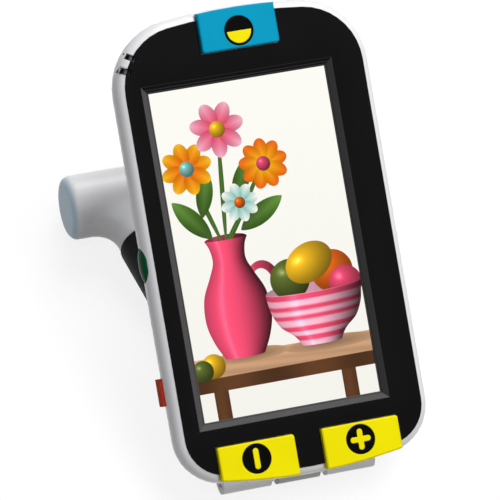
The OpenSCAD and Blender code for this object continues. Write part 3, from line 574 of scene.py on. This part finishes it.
def face_outward(mesh):
    """Turns the faces of a closed mesh outward."""
    work = bmesh.new()
    work.from_mesh(mesh)
    bmesh.ops.recalc_face_normals(work, faces=work.faces)
    work.to_mesh(mesh)
    work.free()


def drop_slivers(mesh):
    """Shrinks the shortest edges to points and drops the faces that vanish with them."""
    work = bmesh.new()
    work.from_mesh(mesh)
    bmesh.ops.dissolve_degenerate(work, edges=work.edges, dist=SLIVER)
    work.to_mesh(mesh)
    work.free()


def in_scene(name, data):
    """New object in the scene."""
    made = bpy.data.objects.new(name, data)
    bpy.context.scene.collection.objects.link(made)
    return made


def piece(name, verts, faces, look, body="body", slot=None, smooth=False, closed=True):
    """New mesh that rides on a body."""
    mesh = bpy.data.meshes.new(name)
    mesh.from_pydata([tuple(v) for v in verts], [], faces)
    mesh.validate()
    if closed:
        face_outward(mesh)
    made = in_scene(name, mesh)
    made.data.materials.append(materials[look])
    if smooth:
        mesh.shade_smooth()
    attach(made, body)
    return made


def lofted(rings, loop=False):
    """Points and faces of closed rings joined one to the next, with the ends closed or joined together."""
    count = len(rings[0])
    verts = [point for ring in rings for point in ring]
    faces = []
    for low in range(len(rings) - (not loop)):
        high = (low + 1) % len(rings)
        for i in range(count):
            k = (i + 1) % count
            faces.append((low * count + i, low * count + k, high * count + k, high * count + i))
    if not loop:
        faces += [tuple(range(count))[::-1], tuple(range(len(verts) - count, len(verts)))]
    return verts, faces


def flowing(profile, steps=6):
    """Profile with points on a smooth curve added between the given ones."""
    ends = [profile[0], *profile, profile[-1]]
    run = []
    for a, b, c, d in zip(ends, ends[1:], ends[2:], ends[3:]):
        for k in range(steps):
            t = k / steps
            run.append(tuple(0.5 * (2 * q + (r - p) * t + (2 * p - 5 * q + 4 * r - w) * t * t
                                    + (3 * q - p - 3 * r + w) * t ** 3) for p, q, r, w in zip(a, b, c, d)))
    return run + [profile[-1]]


class Picture:
    """Painted still life in millimetres, built of flat shapes that lie one on another."""

    def __init__(self, origin):
        self.origin = origin
        self.verts = []
        self.faces = []
        self.paint = []
        self.layer = 0

    def grid(self, rows, shade):
        """One shape from rows of points with their own (u, v) for the shade."""
        start = len(self.verts)
        width = len(rows[0])
        self.layer += 1
        for row in rows:
            for x, y, u, v in row:
                self.verts.append(self.origin + at(x * MM, y * MM, self.layer * LAYER))
                self.paint.append((*linear([min(1, max(0, c)) for c in shade(u, v)]), 1))
        for r in range(len(rows) - 1):
            for c in range(width - 1):
                a = start + r * width + c
                self.faces.append((a, a + 1, a + width + 1, a + width))

    def oval(self, x, y, rx, ry, shade, turn=0, point=0, rings=6, steps=36):
        """Oval, drawn out to a point at both ends if asked."""
        rows = []
        cos, sin = math.cos(math.radians(turn)), math.sin(math.radians(turn))
        for i in range(rings + 1):
            row = []
            for k in range(steps + 1):
                a = 2 * math.pi * k / steps
                u = math.cos(a) * i / rings
                v = math.sin(a) * i / rings * abs(math.sin(a)) ** point
                row.append((x + rx * u * cos - ry * v * sin, y + rx * u * sin + ry * v * cos, u, v))
            rows.append(row)
        self.grid(rows, shade)

    def turned(self, x, profile, shade, columns=18):
        """Upright turned form from (height, half width) pairs."""
        top, low = profile[-1][0], profile[0][0]
        rows = []
        for y, half in flowing(profile):
            bow = TURNED_BOW * half
            row = []
            for k in range(columns + 1):
                u = 2 * k / columns - 1
                row.append((x + half * u, y - bow * math.sqrt(1 - u * u), u, (y - low) / (top - low)))
            rows.append(row)
        self.grid(rows, shade)

    def field(self, x0, x1, y0, y1, shade, across=20, along=30):
        """Plain rectangle."""
        rows = []
        for i in range(along + 1):
            v = i / along
            y = y0 + (y1 - y0) * v
            rows.append([(x0 + (x1 - x0) * k / across, y, k / across, v) for k in range(across + 1)])
        self.grid(rows, shade)


def tone(colour, gain, lift=0.0):
    """Colour made darker or lighter, with an even lift."""
    return [c * gain + lift for c in colour]


def round_shade(colour):
    """Shade of a ball lit from the upper left."""
    def shade(u, v):
        away = math.hypot(u + 0.35, v - 0.4)
        glint = max(0, 1 - away / 0.35) ** 2
        return tone(colour, 1.12 - 0.42 * away, 0.35 * glint)
    return shade


def turned_shade(colour, band=None, bands=0):
    """Shade of an upright turned form, with level bands of a second colour if asked."""
    def shade(u, v):
        base = band if band and int(v * bands * 2) % 2 else colour
        return tone(base, 1.08 - 0.5 * (u + 0.3) ** 2, 0.12 * max(0, 1 - abs(u + 0.45) / 0.15))
    return shade


def petal_shade(inner, outer):
    """Petal that runs from one colour at its root to another at its tip."""
    def shade(u, v):
        t = (u + 1) / 2
        return [a + (b - a) * t - 0.12 * abs(v) for a, b in zip(inner, outer)]
    return shade


def paint_bench(art, wide, tall):
    """Cream ground and a wooden bench, with the shadows of what stands on it."""
    art.field(-wide, wide, -tall, tall, lambda u, v: tone(CREAM, 0.965 + 0.035 * v))
    art.field(-wide, wide, BENCH_EDGE, BENCH_TOP,
              lambda u, v: tone(SAND, 0.86 + 0.12 * v + 0.04 * math.sin(9 * u + 14 * v)))
    art.field(-wide, wide, BENCH_FOOT, BENCH_EDGE,
              lambda u, v: tone(BROWN, 0.75 + 0.25 * math.sin(7 * u) ** 2))
    for x in (-20, 19):
        art.field(x - 2.2, x + 2.2, -tall, BENCH_FOOT, lambda u, v: tone(BROWN, 1.0 - 0.35 * abs(u - 0.4)))
    for x, y, reach in ((-11, BENCH_TOP - 1, 11), (13, BENCH_TOP - 1.5, 14)):
        art.oval(x + 2, y, reach, 2, lambda u, v: tone(SAND, 0.62 + 0.24 * math.hypot(u, v)))


def paint_jug(art):
    """Jug with its stems and leaves."""
    art.oval(-11, 3.3, 6.4, 1.3, turned_shade(tone(PINK, 0.6)))
    for x0, y0, x1, y1 in ((-12, 2, -19, 24), (-11, 2, -8, 33), (-10, 2, 3, 22), (-11, 2, -3, 12)):
        length = math.hypot(x1 - x0, y1 - y0)
        art.oval((x0 + x1) / 2, (y0 + y1) / 2, length / 2, 0.7, petal_shade(LEAF, LEAF),
                 turn=math.degrees(math.atan2(y1 - y0, x1 - x0)))
    for x, y, size, turn in ((-20, 10, 8, 130), (1, 9, 8, 30), (-15, 17, 7, 75), (-3, 20, 7, 60)):
        art.oval(x, y, size, size * 0.36, petal_shade(tone(LEAF, 0.8), tone(LEAF, 1.3)), turn=turn, point=0.7)
    art.oval(-2, -12, 5.5, 7.5, turned_shade(tone(PINK, 0.75)))
    art.oval(-2.4, -12, 3.4, 5.2, lambda u, v: tone(CREAM, 0.97))
    jug = [(BENCH_TOP - 1, 6), (-26, 8.5), (-20, 10), (-13, 9.4), (-7, 6.6), (-3, 5), (1, 5.4), (3.5, 6.6)]
    art.turned(-11, jug, turned_shade(PINK))


def paint_blooms(art):
    """Flowers of the jug."""
    blooms = ((-19, 25, 7.5, ORANGE, YELLOW, TEAL, 8), (-8, 35, 8, PINK, ROSE, YELLOW, 7),
              (4, 23, 7.2, YELLOW, ORANGE, PINK, 9), (-5, 13, 5.6, TEAL, CREAM, ORANGE, 8))
    for x, y, size, inner, outer, heart, count in blooms:
        reach = 0.58 * size
        for k in range(count):
            turn = 360 * k / count + 12
            art.oval(x + reach * math.cos(math.radians(turn)), y + reach * math.sin(math.radians(turn)),
                     0.46 * size, 0.3 * size, petal_shade(inner, outer), turn=turn, rings=4, steps=20)
        art.oval(x, y, 0.3 * size, 0.3 * size, round_shade(heart), steps=24)


def paint_bowl(art):
    """Striped bowl of fruit, with two more beside the jug."""
    art.oval(12.5, -15, 14.5, 2.6, turned_shade(tone(ROSE, 0.8)))
    fruit = ((6, -11.5, 6, 6, 0, OLIVE), (19, -11, 6.4, 6.2, 0, ORANGE), (12.5, -7.5, 7.6, 5.6, 24, YELLOW),
             (22.5, -15, 5, 5, 0, PINK))
    for x, y, rx, ry, turn, colour in fruit:
        art.oval(x, y, rx, ry, round_shade(colour), turn=turn)
    bowl = [(BENCH_TOP - 1, 6), (-28, 8), (-25, 11.5), (-21, 13.6), (-17, 14.4), (-15, 14.6)]
    art.turned(12.5, bowl, turned_shade(ROSE, band=PINK, bands=5), columns=24)
    for x, y, r, colour in ((-21, -32.5, 3.6, YELLOW), (-24.4, -33.5, 3.2, OLIVE)):
        art.oval(x, y, r, r, round_shade(colour))


def paint_picture():
    """Still life of a striped bowl of fruit and a jug of flowers on a bench, on a cream ground."""
    panel = "display_panel"
    art = Picture(at(middle(panel, RIGHT), middle(panel, UP), span(panel, OUT)[1]))
    paint_bench(art, half_span(panel, RIGHT) / MM, half_span(panel, UP) / MM)
    paint_jug(art)
    paint_blooms(art)
    paint_bowl(art)
    shown = piece("screen_picture", art.verts, art.faces, "picture", slot="screen", closed=False)
    paint = shown.data.color_attributes.new("paint", "FLOAT_COLOR", "POINT")
    for spot, colour in zip(paint.data, art.paint):
        spot.color = colour
    drop_slivers(shown.data)


def trim_screen():
    """Sloped border between panel and screen, mitred at its corners, with a stepped upper side; painted shade
    darkens the right and upper sides.
    """
    cover = "display_cover"
    x, y = middle(cover, RIGHT), middle(cover, UP)
    half_w, half_l = half_span(cover, RIGHT) - SCREEN_LAP, half_span(cover, UP) - SCREEN_LAP
    seat = span(cover, OUT)[1] + TRIM_SEAT
    low = FACE - BEVEL_DEPTH
    outer = BEVEL_W + BEVEL_ROUND
    slope = [
        (outer, FACE + TRIM_SEAT),
        (BEVEL_W, FACE + TRIM_PROUD),
        (BEVEL_W - BEVEL_ROUND, FACE - BEVEL_DROP),
        (BEVEL_FOOT, low + FOOT_RISE),
        (-BEVEL_TOE, low + TOE_RISE),
        (-BEVEL_TOE, seat),
        (outer, seat),
    ]
    steps = slope[-2:][::-1]
    climb = BEVEL_DEPTH - TOE_RISE + BEVEL_DROP
    for share, rise in TOP_STEPS:
        steps.append((share * (outer + BEVEL_TOE) - BEVEL_TOE, low + TOE_RISE + share * climb + rise * MM))
    left, right = (-1, 1), (1, 1)
    low_left, low_right = (-1, -1), (1, -1)
    # The right side and the upper side take darker greys than the rest: painted shade where less light falls
    # on them.
    for name, look, profile, corners in (("screen_border", "bevel_grey", slope, (left, low_left, low_right)),
                                         ("screen_border_side", "bevel_shade", slope, (low_right, right)),
                                         ("screen_border_top", "bevel_dark", steps, (right, left))):
        rings = []
        for sx, sy in corners:
            rings.append([at(x + sx * (half_w + out), y + sy * (half_l + out), z) for out, z in profile])
        piece(name, *lofted(rings), look, slot="panel_black")


def hull(points):
    """Outer ring of flat points, anticlockwise."""
    points = sorted(set(points))

    def chain(run):
        kept = []
        for p in run:
            while len(kept) > 1 and ((kept[-1][0] - kept[-2][0]) * (p[1] - kept[-2][1])
                                     - (kept[-1][1] - kept[-2][1]) * (p[0] - kept[-2][0])) <= 0:
                kept.pop()
            kept.append(p)
        return kept[:-1]

    return chain(points) + chain(points[::-1])


def line_seam():
    """Narrow shadow gap where the frame meets the rear cover."""
    level = span("rear_cover", OUT)[1]
    flat = [(round(v.co.dot(RIGHT), 6), round(v.co.dot(UP), 6)) for v in nodes["rear_cover"].data.vertices
            if abs(v.co.dot(OUT) - level) < LEVEL_GAP]
    ring = [Vector(p) for p in hull(flat)]
    half, top = SEAM_HALF, SEAM_HALF * SEAM_TOP
    rings = []
    for out, rise in ((-SEAM_DEPTH, -half), (SEAM_PROUD, -top), (SEAM_PROUD, top), (-SEAM_DEPTH, half)):
        row = []
        for i, p in enumerate(ring):
            along = (ring[(i + 1) % len(ring)] - ring[i - 1]).normalized()
            row.append(at(p.x + along.y * out, p.y - along.x * out, level + rise))
        rings.append(row)
    piece("case_seam", *lofted(rings, loop=True), "seam_grey", slot="dark_plastic")


def solids_of(node):
    """Points of each separate solid of a node."""
    mesh = nodes[node].data
    keys = [tuple(round(c, 7) for c in vertex.co) for vertex in mesh.vertices]
    lead = {key: key for key in keys}

    def first(key):
        while lead[key] != key:
            key = lead[key]
        return key

    for edge in mesh.edges:
        lead[first(keys[edge.vertices[0]])] = first(keys[edge.vertices[1]])
    groups = {}
    for key in lead:
        groups.setdefault(first(key), []).append(Vector(key))
    return list(groups.values())


def screw_rings(points, axis):
    """Rings of a cross-recessed pan-head screw that takes a plain one's place, head at the axis's low end."""
    across = RIGHT
    along = axis.cross(across)
    reach = sorted({round(p.dot(axis), 6) for p in points})
    low, under, high = reach[0], reach[1], reach[-1]
    sides = [p.dot(across) for p in points], [p.dot(along) for p in points]
    cx, cy = ((min(side) + max(side)) / 2 for side in sides)
    head = (max(sides[0]) - min(sides[0])) / 2
    tip = [p.dot(across) for p in points if p.dot(axis) > high - TIP_DEPTH]
    shank = (max(tip) - min(tip)) / 2
    arm, half = head * RECESS_ARM, head * RECESS_HALF
    corner = math.degrees(math.atan2(half, arm))
    turns = [math.radians(90 * q + a) for q in range(4) for a in (0, corner, *RECESS_TURNS, 90 - corner)]

    def ring(level, radius):
        """Round ring, or one with a radius of its own for each turn."""
        radii = radius if isinstance(radius, list) else [radius] * len(turns)
        return [across * (cx + r * math.cos(a)) + along * (cy + r * math.sin(a)) + axis * level
                for a, r in zip(turns, radii)]

    def cross(share):
        """Radii of the cross recess, widened by a share."""
        radii = []
        for a in turns:
            c, s = max(abs(math.cos(a)), TINY), max(abs(math.sin(a)), TINY)
            radii.append(share * max(min(arm / c, half / s), min(half / c, arm / s)))
        return radii

    tall = under - low
    deep = tall * RECESS_DEPTH
    rings = [ring(low + deep, RECESS_POINT)]
    for level, share in zip((deep * RECESS_FLOOR, RECESS_LIP, 0), RECESS_WIDTHS):
        rings.append(ring(low + level, cross(share)))
    for out in HEAD_STEPS:
        rings.append(ring(low + tall * HEAD_DOME * (1 - math.sqrt(1 - out * out)) ** HEAD_CURVE, head * out))
    rings += [ring(under, head), ring(under, shank)]
    for k in range(1, int((high - under) / THREAD_PITCH * 2)):
        rings.append(ring(under + k * THREAD_PITCH / 2, shank * (THREAD_ROOT if k % 2 else 1.0)))
    rings.append(ring(high, SCREW_TIP))
    return rings


def make_screws(name, node, axis, body):
    """Screws of a node with their recesses, heads and threads."""
    verts, faces = [], []
    for points in solids_of(node):
        more, sides = lofted(screw_rings(points, axis))
        faces += [tuple(i + len(verts) for i in side) for side in sides]
        verts += more
    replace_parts(piece(name, verts, faces, "steel", body=body), node)


def dome_button():
    """Domed oval button in the place of the plain one."""
    node = "freeze_button"
    y, z = middle(node, UP), middle(node, OUT)
    half_z = half_span(node, OUT)
    run = half_span(node, UP) - half_z
    face, back = span(node, RIGHT)
    profile = []
    for k in range(DOME_STEPS + 1):
        t = math.pi / 2 * k / DOME_STEPS
        profile.append((max(math.sin(t), DOME_POINT), face + DOME_RISE * (1 - math.cos(t))))
    profile += [(1.0, (face + DOME_RISE + back) / 2), (1.0, back), (DOME_POINT, back)]
    rings = []
    for grow, x in profile:
        row = []
        for k in range(DOME_SIDES):
            a = 2 * math.pi * k / DOME_SIDES
            shift = run * ((math.cos(a) > TINY) - (math.cos(a) < -TINY))
            row.append(at(x, y + grow * (half_z * math.cos(a) + shift), z + grow * half_z * math.sin(a)))
        rings.append(row)
    dome = piece("freeze_dome", *lofted(rings), "button_green", body="freeze_button_body", smooth=True)
    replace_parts(dome, node)


def pad_point(u, v, mid, half, low):
    """Point on the underside of a pad, with u and v from -1 to 1 across it."""
    edge = max(0.0, (max(abs(u), abs(v)) - PAD_EDGE) / (1 - PAD_EDGE))
    groove = PAD_GROOVE * (0.5 - 0.5 * math.cos(math.pi * PAD_GROOVES * (u + 1))) * (1 - edge)
    return Vector((mid[0] + half[0] * u * math.sqrt(1 - PAD_BOW * v * v),
                   mid[1] + half[1] * v * math.sqrt(1 - PAD_BOW * u * u),
                   low + groove + PAD_SOFT * edge * edge))


def make_pads():
    """Soft feet under the grip bar, with rounded edges and shallow grooves across the tread."""
    count = PAD_CELLS
    width = count + 1
    verts, faces = [], []
    for points in solids_of("rest_pads"):
        lows, highs = ([pick(p[i] for p in points) for i in range(3)] for pick in (min, max))
        mid = [(a + b) / 2 for a, b in zip(lows, highs)]
        half = [(b - a) / 2 for a, b in zip(lows, highs)]
        start = len(verts)
        for i in range(width):
            for k in range(width):
                verts.append(pad_point(2 * k / count - 1, 2 * i / count - 1, mid, half, lows[2]))
        for i in range(count):
            for k in range(count):
                a = start + i * width + k
                faces.append((a, a + width, a + width + 1, a + 1))
        loop = ([start + k for k in range(width)] + [start + i * width + count for i in range(1, width)]
                + [start + count * width + k for k in range(count - 1, -1, -1)]
                + [start + i * width for i in range(count - 1, 0, -1)])
        top = len(verts)
        verts += [Vector((verts[i].x, verts[i].y, highs[2])) for i in loop]
        for i in range(len(loop)):
            k = (i + 1) % len(loop)
            faces.append((loop[i], loop[k], top + k, top + i))
        faces.append(tuple(range(top, top + len(loop))))
    pads = piece("rest_pads_soft", verts, faces, "pad_black", body="handle", smooth=True)
    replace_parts(pads, "rest_pads")


def shade_strap_slots():
    """Dark sheets of painted shade inside the two strap slots, on either side of the strap pin, over their
    white walls.
    """
    pin = Vector((middle("strap_pin", RIGHT), middle("strap_pin", UP)))
    spots = [Vector((v.co.dot(RIGHT), v.co.dot(UP))) for v in nodes["strap_pin"].data.vertices]
    run = max(spots, key=lambda p: p.x + p.y) - min(spots, key=lambda p: p.x + p.y)
    away = Vector((-run.y, run.x)).normalized()
    corner = pin - away * (SLOT_RIM - SLOT_PIN_IN)
    count = len(SLOT_WALL)
    verts, faces = [], []
    for turn in (-SLOT_TURN, SLOT_TURN):
        ray = Matrix.Rotation(math.radians(turn), 2) @ away
        side = Vector((-ray.y, ray.x)) * (SLOT_W / 2 - SLOT_PLAY)
        near = [len(verts) + i for i in range(count)]
        far = [i + count for i in near]
        for sign in (-1, 1):
            for inset, z in SLOT_WALL:
                spot = corner + ray * (SLOT_RIM - inset * MM) + side * sign
                verts.append(at(spot.x, spot.y, FACE + z * MM))
        faces += [tuple(near), tuple(far[::-1]), (near[0], far[0], far[1], near[1]),
                  (near[1], far[1], far[2], near[2]), (near[0], near[-1], far[-1], far[0])]
    piece("strap_slot_shade", verts, faces, "slot_painted_shade", slot="dark_plastic", closed=False)


def line_grip():
    """Fine parting line along the outer side of the grip bar."""
    half, top = GRIP_SEAM_HALF, GRIP_SEAM_HALF * GRIP_SEAM_TOP
    low, high = -GRIP_SEAM_DEPTH, GRIP_SEAM_PROUD
    profile = ((-half, low), (-top, high), (top, high), (half, low))
    rings = []
    for x in (-BAR_REACH, -BAR_REACH / 3, BAR_REACH / 3, BAR_REACH):
        ring = []
        for shift, out in profile:
            turn, r = HANDLE_SLOPE + shift / BAR_RADIUS, BAR_RADIUS + out
            ring.append(BAR + RIGHT * x + BACK * r * math.cos(turn) + HIGH * r * math.sin(turn))
        rings.append(ring)
    piece("grip_seams", *lofted(rings), "seam_grey", body="handle", slot="dark_plastic")


def ease(value, low, high):
    """Smooth step from 0 at low to 1 at high."""
    t = min(1.0, max(0.0, (value - low) / (high - low)))
    return t * t * (3 - 2 * t)


def settled(form):
    """Mesh of an object with its modifiers applied."""
    return bpy.data.meshes.new_from_object(form.evaluated_get(bpy.context.evaluated_depsgraph_get()))


def combine(form, other, how):
    """Boolean of an object with another one."""
    step = form.modifiers.new("combine", "BOOLEAN")
    step.operation = how
    step.object = other


def grip_skin():
    """One even skin over the grip bar, its neck and its end caps."""
    forms = []
    for name in ("grip_front", "grip_rear", "grip_end_caps"):
        form = in_scene(name + "_form", nodes[name].data.copy())
        form.modifiers.new("weld", "WELD").merge_threshold = WELD_GAP
        forms.append(form)
    for form in forms[1:]:
        combine(forms[0], form, "UNION")
    cells = forms[0].modifiers.new("cells", "REMESH")
    cells.mode = "VOXEL"
    cells.voxel_size = GRIP_CELL
    skin = settled(forms[0])
    for form in forms:
        bpy.data.objects.remove(form)
    return skin


def softened(skin):
    """Skin of the grip with the neck flowing into the bar, softened only where the two meet."""
    mesh = nodes["grip_sleeve"].data
    sleeve = BVHTree.FromPolygons([v.co for v in mesh.vertices], [tuple(f.vertices) for f in mesh.polygons])
    form = in_scene("grip_form", skin)
    group = form.vertex_groups.new(name="soft")
    for vertex in skin.vertices:
        share = ease(sleeve.find_nearest(vertex.co)[3], *SLEEVE_FADE)
        share *= ease((vertex.co - BAR).dot(HANDLE_IN), *NECK_FADE)
        share *= 1 - ease(abs(vertex.co.x), *END_FADE)
        if share > 0:
            group.add([vertex.index], share, "REPLACE")
    flow = form.modifiers.new("flow", "SMOOTH")
    flow.factor = GRIP_FACTOR
    flow.iterations = GRIP_ROUNDS
    flow.vertex_group = "soft"
    soft = settled(form)
    # Points of the bar that sank with the smoothing go back to its radius.
    for old, new in zip(skin.vertices, soft.vertices):
        was, now = ((spot.co - BAR).yz.length for spot in (old, new))
        if now < BAR_RADIUS < was + BAR_SKIN:
            axis = BAR + RIGHT * new.co.x
            new.co = axis + (new.co - axis) * BAR_RADIUS / now
    form.data = soft
    flow.iterations = GRIP_EASE
    soft = settled(form)
    bpy.data.objects.remove(form)
    return soft


def shape_grip():
    """Shells of the grip bar and its neck, parted along the bar where the plain ones are."""
    soft = softened(grip_skin())
    bore = BAR_RADIUS + GRIP_LAP
    arc = []
    for k in range(GRIP_STEPS + 1):
        t = math.pi / 2 * k / GRIP_STEPS
        arc.append((bore * math.cos(t), -bore * math.sin(t)))
    zones = {
        "grip_front": [(-ZONE, 0), (-ZONE, ZONE), (ZONE, ZONE), (ZONE, -ZONE), (0, -ZONE)] + arc[::-1],
        "grip_rear": [(-ZONE, -ZONE), (-ZONE, 0)] + arc + [(0, -ZONE)],
    }
    for name, zone in zones.items():
        rings = []
        for x in (-BAR_REACH, BAR_REACH):
            rings.append([BAR + RIGHT * x + HANDLE_IN * along + HANDLE_UP * up for along, up in zone])
        verts, faces = lofted(rings)
        mould = in_scene(name + "_zone", bpy.data.meshes.new(name + "_zone"))
        mould.data.from_pydata(verts, [], faces)
        face_outward(mould.data)
        form = in_scene(name + "_form", soft)
        combine(form, mould, "INTERSECT")
        cut = settled(form)
        drop_slivers(cut)
        for helper in (mould, form):
            bpy.data.objects.remove(helper)
        verts, faces = [v.co for v in cut.vertices], [tuple(f.vertices) for f in cut.polygons]
        shell = piece(name + "_shell", verts, faces, "grip_white", body="handle", slot="white_shell",
                      smooth=True)
        shell.data.set_sharp_from_angle(angle=math.radians(CREASE))
        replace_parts(shell, name)


def make_camera():
    """Camera at the photograph's viewing angle, aimed so that the object sits where it does there."""
    az, el, roll = (math.radians(a) for a in (VIEW_AZIMUTH, VIEW_ELEVATION, VIEW_ROLL))
    back = Vector((math.sin(az) * math.cos(el), -math.cos(az) * math.cos(el), math.sin(el)))
    side = Vector((math.cos(az), math.sin(az), 0))
    rise = back.cross(side)
    across = side * math.cos(roll) + rise * math.sin(roll)
    above = rise * math.cos(roll) - side * math.sin(roll)
    per_px = VIEW_DISTANCE / FOCAL_PX
    aim = TARGET - across * AIM_PX[0] * per_px + above * AIM_PX[1] * per_px
    place = TARGET + back * VIEW_DISTANCE
    toward = (place - aim).normalized()
    across = (across - toward * across.dot(toward)).normalized()
    above = toward.cross(across)
    lens = bpy.data.cameras.new("camera")
    lens.sensor_width = SENSOR_MM
    lens.lens = SENSOR_MM * FOCAL_PX / IMAGE_PX
    lens.clip_end = VIEW_END
    camera = in_scene("camera", lens)
    camera.matrix_world = Matrix((
        (across.x, above.x, toward.x, place.x),
        (across.y, above.y, toward.y, place.y),
        (across.z, above.z, toward.z, place.z),
        (0, 0, 0, 1)))
    bpy.context.scene.camera = camera


def seen_or_mirrored(tree, *more):
    """Factor that is 1 for rays from the eye, for mirrored or transmitted ones, and for more if asked."""
    path = tree.nodes.new("ShaderNodeLightPath")
    total = path.outputs["Is Camera Ray"]
    for kind in ("Is Glossy Ray", "Is Transmission Ray", *more):
        most = tree.nodes.new("ShaderNodeMath")
        most.operation = "MAXIMUM"
        tree.links.new(total, most.inputs[0])
        tree.links.new(path.outputs[kind], most.inputs[1])
        total = most.outputs["Value"]
    return total


def make_world():
    """White surroundings for the eye and for reflections, with an even low light."""
    world = bpy.data.worlds.new("studio")
    bpy.context.scene.world = world
    world.use_nodes = True
    tree = world.node_tree
    sky = tree.nodes["Background"]
    level = tree.nodes.new("ShaderNodeMapRange")
    level.inputs["To Min"].default_value = WORLD_LIGHT
    level.inputs["To Max"].default_value = 1.0
    tree.links.new(seen_or_mirrored(tree), level.inputs["Value"])
    tree.links.new(level.outputs["Result"], sky.inputs["Strength"])
    sky.inputs["Color"].default_value = (1, 1, 1, 1)


def make_floor():
    """Pale clear floor over the white surroundings: it keeps the shadow and shows what swings below it."""
    half = FLOOR_SIZE / 2
    corners = [(-half, -half, 0), (half, -half, 0), (half, half, 0), (-half, half, 0)]
    mesh = bpy.data.meshes.new("floor")
    mesh.from_pydata(corners, [], [(0, 1, 2, 3)])
    floor = in_scene("floor", mesh)
    material = bpy.data.materials.new("floor_white")
    material.use_nodes = True
    tree = material.node_tree
    tree.nodes.clear()
    matte = tree.nodes.new("ShaderNodeBsdfDiffuse")
    matte.inputs["Color"].default_value = (FLOOR_TINT, FLOOR_TINT, FLOOR_TINT, 1)
    clear = tree.nodes.new("ShaderNodeBsdfTransparent")
    level = tree.nodes.new("ShaderNodeMapRange")
    level.inputs["To Max"].default_value = FLOOR_CLEAR
    tree.links.new(seen_or_mirrored(tree, "Is Shadow Ray"), level.inputs["Value"])
    tree.links.new(level.outputs["Result"], clear.inputs["Color"])
    both = tree.nodes.new("ShaderNodeAddShader")
    tree.links.new(matte.outputs["BSDF"], both.inputs[0])
    tree.links.new(clear.outputs["BSDF"], both.inputs[1])
    out = tree.nodes.new("ShaderNodeOutputMaterial")
    tree.links.new(both.outputs["Shader"], out.inputs["Surface"])
    mesh.materials.append(material)


def soft_light(name, place, watts, colour):
    """Large square lamp that faces the object."""
    lamp = bpy.data.lights.new(name, "AREA")
    lamp.shape = "SQUARE"
    lamp.size = LAMP_SIZE
    lamp.energy = watts
    lamp.color = colour
    holder = in_scene(name, lamp)
    holder.location = place
    holder.rotation_euler = (Vector(place) - TARGET).to_track_quat("Z", "Y").to_euler()


make_camera()
make_world()
make_floor()
for name, lamp in LAMPS.items():
    soft_light(name, *lamp)
dress_nodes()
paint_picture()
trim_screen()
line_seam()
shade_strap_slots()
line_grip()
shape_grip()
dome_button()
make_pads()
make_screws("case_screws_cross", "case_screws", OUT, "body")
make_screws("grip_screws_cross", "grip_screws", HANDLE_UP, "handle")

bpy.context.scene.view_settings.view_transform = "Standard"
